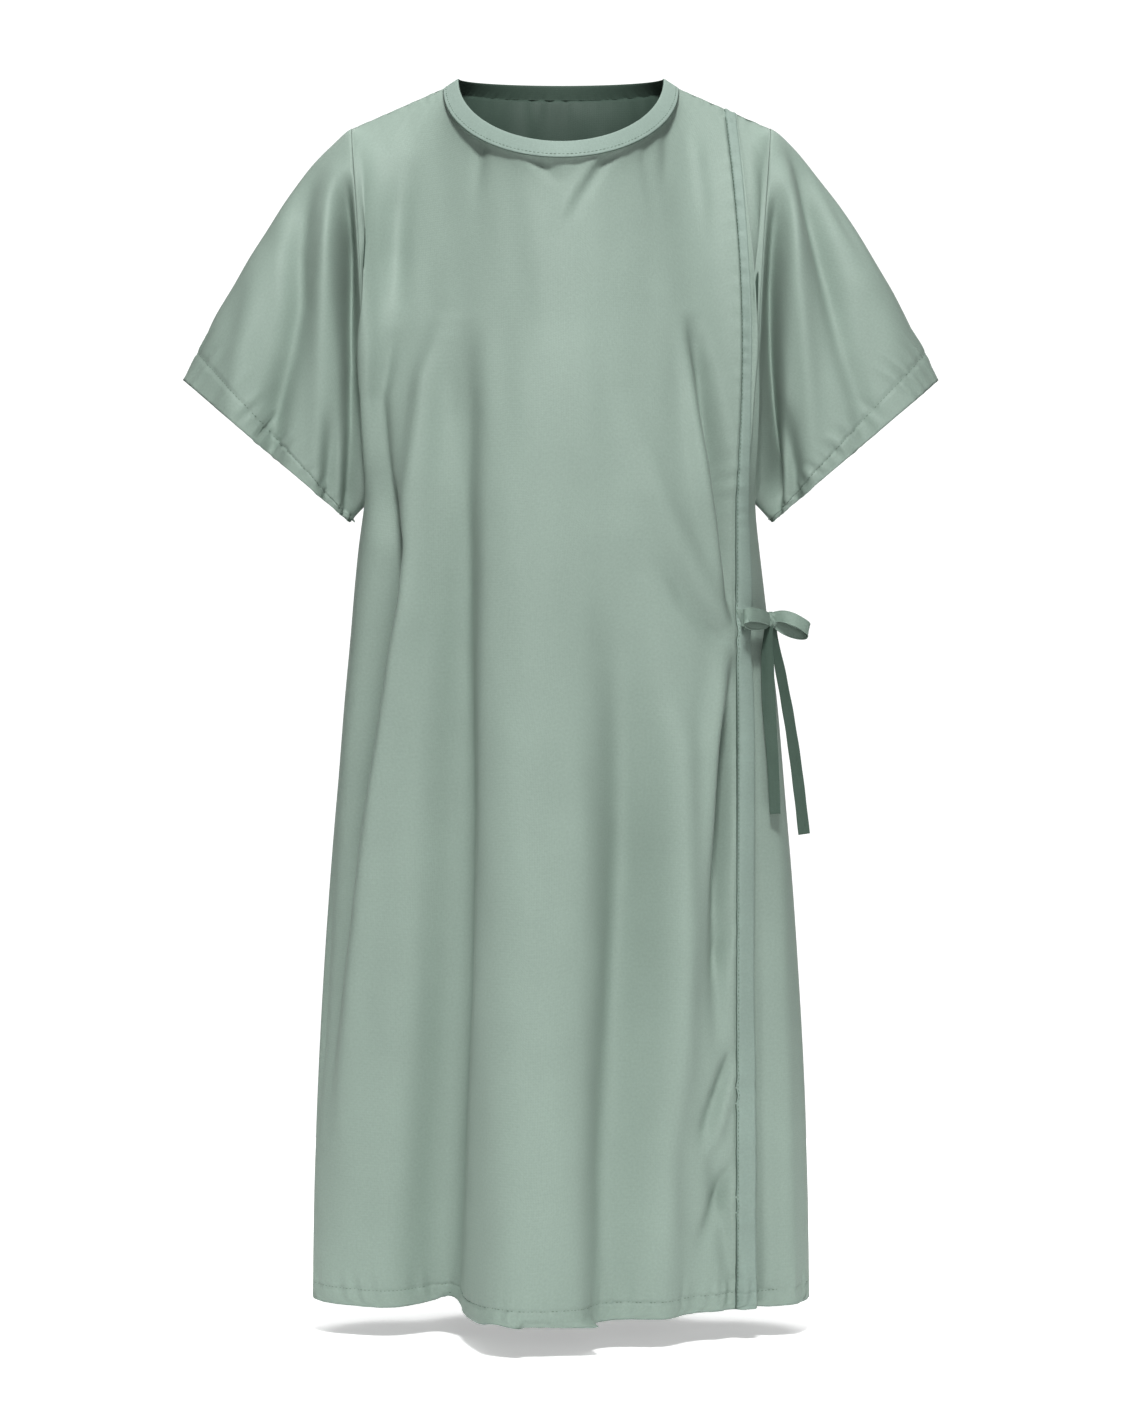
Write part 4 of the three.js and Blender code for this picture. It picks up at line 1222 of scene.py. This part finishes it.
# %% Stitches of the neck binding and the cuffs
turns = np.linspace(0, 2 * np.pi, COUNT)
ring_low, ring_high = neck_ring(turns)
outwards = neck_normal(turns)
neck_stitch = stitches("neck_binding_stitches", mix(ring_low, ring_high, 0.08) + outwards * 0.95, outwards)
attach(neck_stitch, "gown_body")
for side, word in SIDES:
    surface = sleeves[side]
    around = np.linspace(0, 1, COUNT)
    along = np.full(COUNT, 1 - SLEEVE_HEM / surface.width)
    out = 0.15 + cuff_puckers(surface, along, around, 40 + side)
    cuff_stitch = stitches(word + "_cuff_stitches", *seam_line(surface, along, around, out))
    bends_with_sleeve(cuff_stitch)

# %% [markdown]
# The panels and sleeves are only looked up here, with nothing set on them. Each surface's flat
# width and height are measured along the shaped cloth and averaged.

for piece, surface, share in ((wrap_front, front, float(band_out.mean())), (back_piece, back, 1.0),
                              (underlap, front, 1 - float(hidden.mean()))):
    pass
for side, word in SIDES:
    surface = sleeves[side]
    sleeve = bpy.data.objects[word + "_sleeve_cloth"]

# %% [markdown]
# ## Room and light
#
# Cloth shows its folds only where the light changes across them. One lamp high in front of the gown
# lights the ridges and leaves both flanks of a fold darker, a small one below it opens the shadows,
# and a wide one behind throws a soft shadow onto the floor. The room is bright only behind the gown,
# as in a studio with a lit backdrop. A room that was bright all round would fill the folds.

# %% Lamps and the bright wall behind
def lamp(name, size, power, place, aim):
    data = bpy.data.lights.new(name, "AREA")
    data.size = size
    data.energy = power
    light = bpy.data.objects.new(name, data)
    bpy.context.collection.objects.link(light)
    light.location = place
    light.rotation_euler = (Vector(aim) - Vector(place)).to_track_quat("-Z", "Y").to_euler()


world = bpy.data.worlds.new("studio")
world.use_nodes = True
tree = world.node_tree
ways = node(tree, "ShaderNodeTexCoord")
split = node(tree, "ShaderNodeSeparateXYZ", None, {"Vector": ways.outputs["Generated"]})
bright = node(tree, "ShaderNodeMapRange", {"interpolation_type": "SMOOTHSTEP"},
              {"Value": split.outputs["Y"], "From Min": 0.86, "From Max": 0.95,
               "To Min": 0.14, "To Max": 1.1})
tree.links.new(bright.outputs["Result"], tree.nodes["Background"].inputs["Strength"])
tree.nodes["Background"].inputs["Color"].default_value = linear("#FFFFFF")
bpy.context.scene.world = world
lamp("key", 0.5, 123, (0.0, -2.4, 2.0), (0, 0, -0.5))
lamp("fill", 0.8, 14, (0.5, -3.2, -0.2), (0, 0, -0.6))
lamp("floor_light", 5.0, 115, (0, 0.8, 2.4), (0, 0.3, -1.1))
bpy.context.scene.view_settings.view_transform = "Standard"
bpy.context.scene.view_settings.gamma = 0.86
print("lamps:", len(bpy.data.lights))

# %% Floor
FLOOR_RADIUS, FLOOR_HEIGHT = 1.5, -1.128  # just under the hem
floor_mesh = bpy.data.meshes.new("floor")
floor_shape = bmesh.new()
bmesh.ops.create_circle(floor_shape, cap_ends=True, segments=96, radius=FLOOR_RADIUS)
floor_shape.to_mesh(floor_mesh)
floor_shape.free()
floor = bpy.data.objects.new("floor", floor_mesh)
bpy.context.collection.objects.link(floor)
floor.location = (0, 0, FLOOR_HEIGHT)
floor_paint = bpy.data.materials.new("painted_floor")
floor_paint.use_nodes = True
paint = floor_paint.node_tree.nodes["Principled BSDF"]
paint.inputs["Base Color"].default_value = linear("#FFFFFF")
paint.inputs["Roughness"].default_value = 0.9
paint.inputs["Emission Color"].default_value = linear("#FFFFFF")
paint.inputs["Emission Strength"].default_value = 0.45
floor_mesh.materials.append(floor_paint)
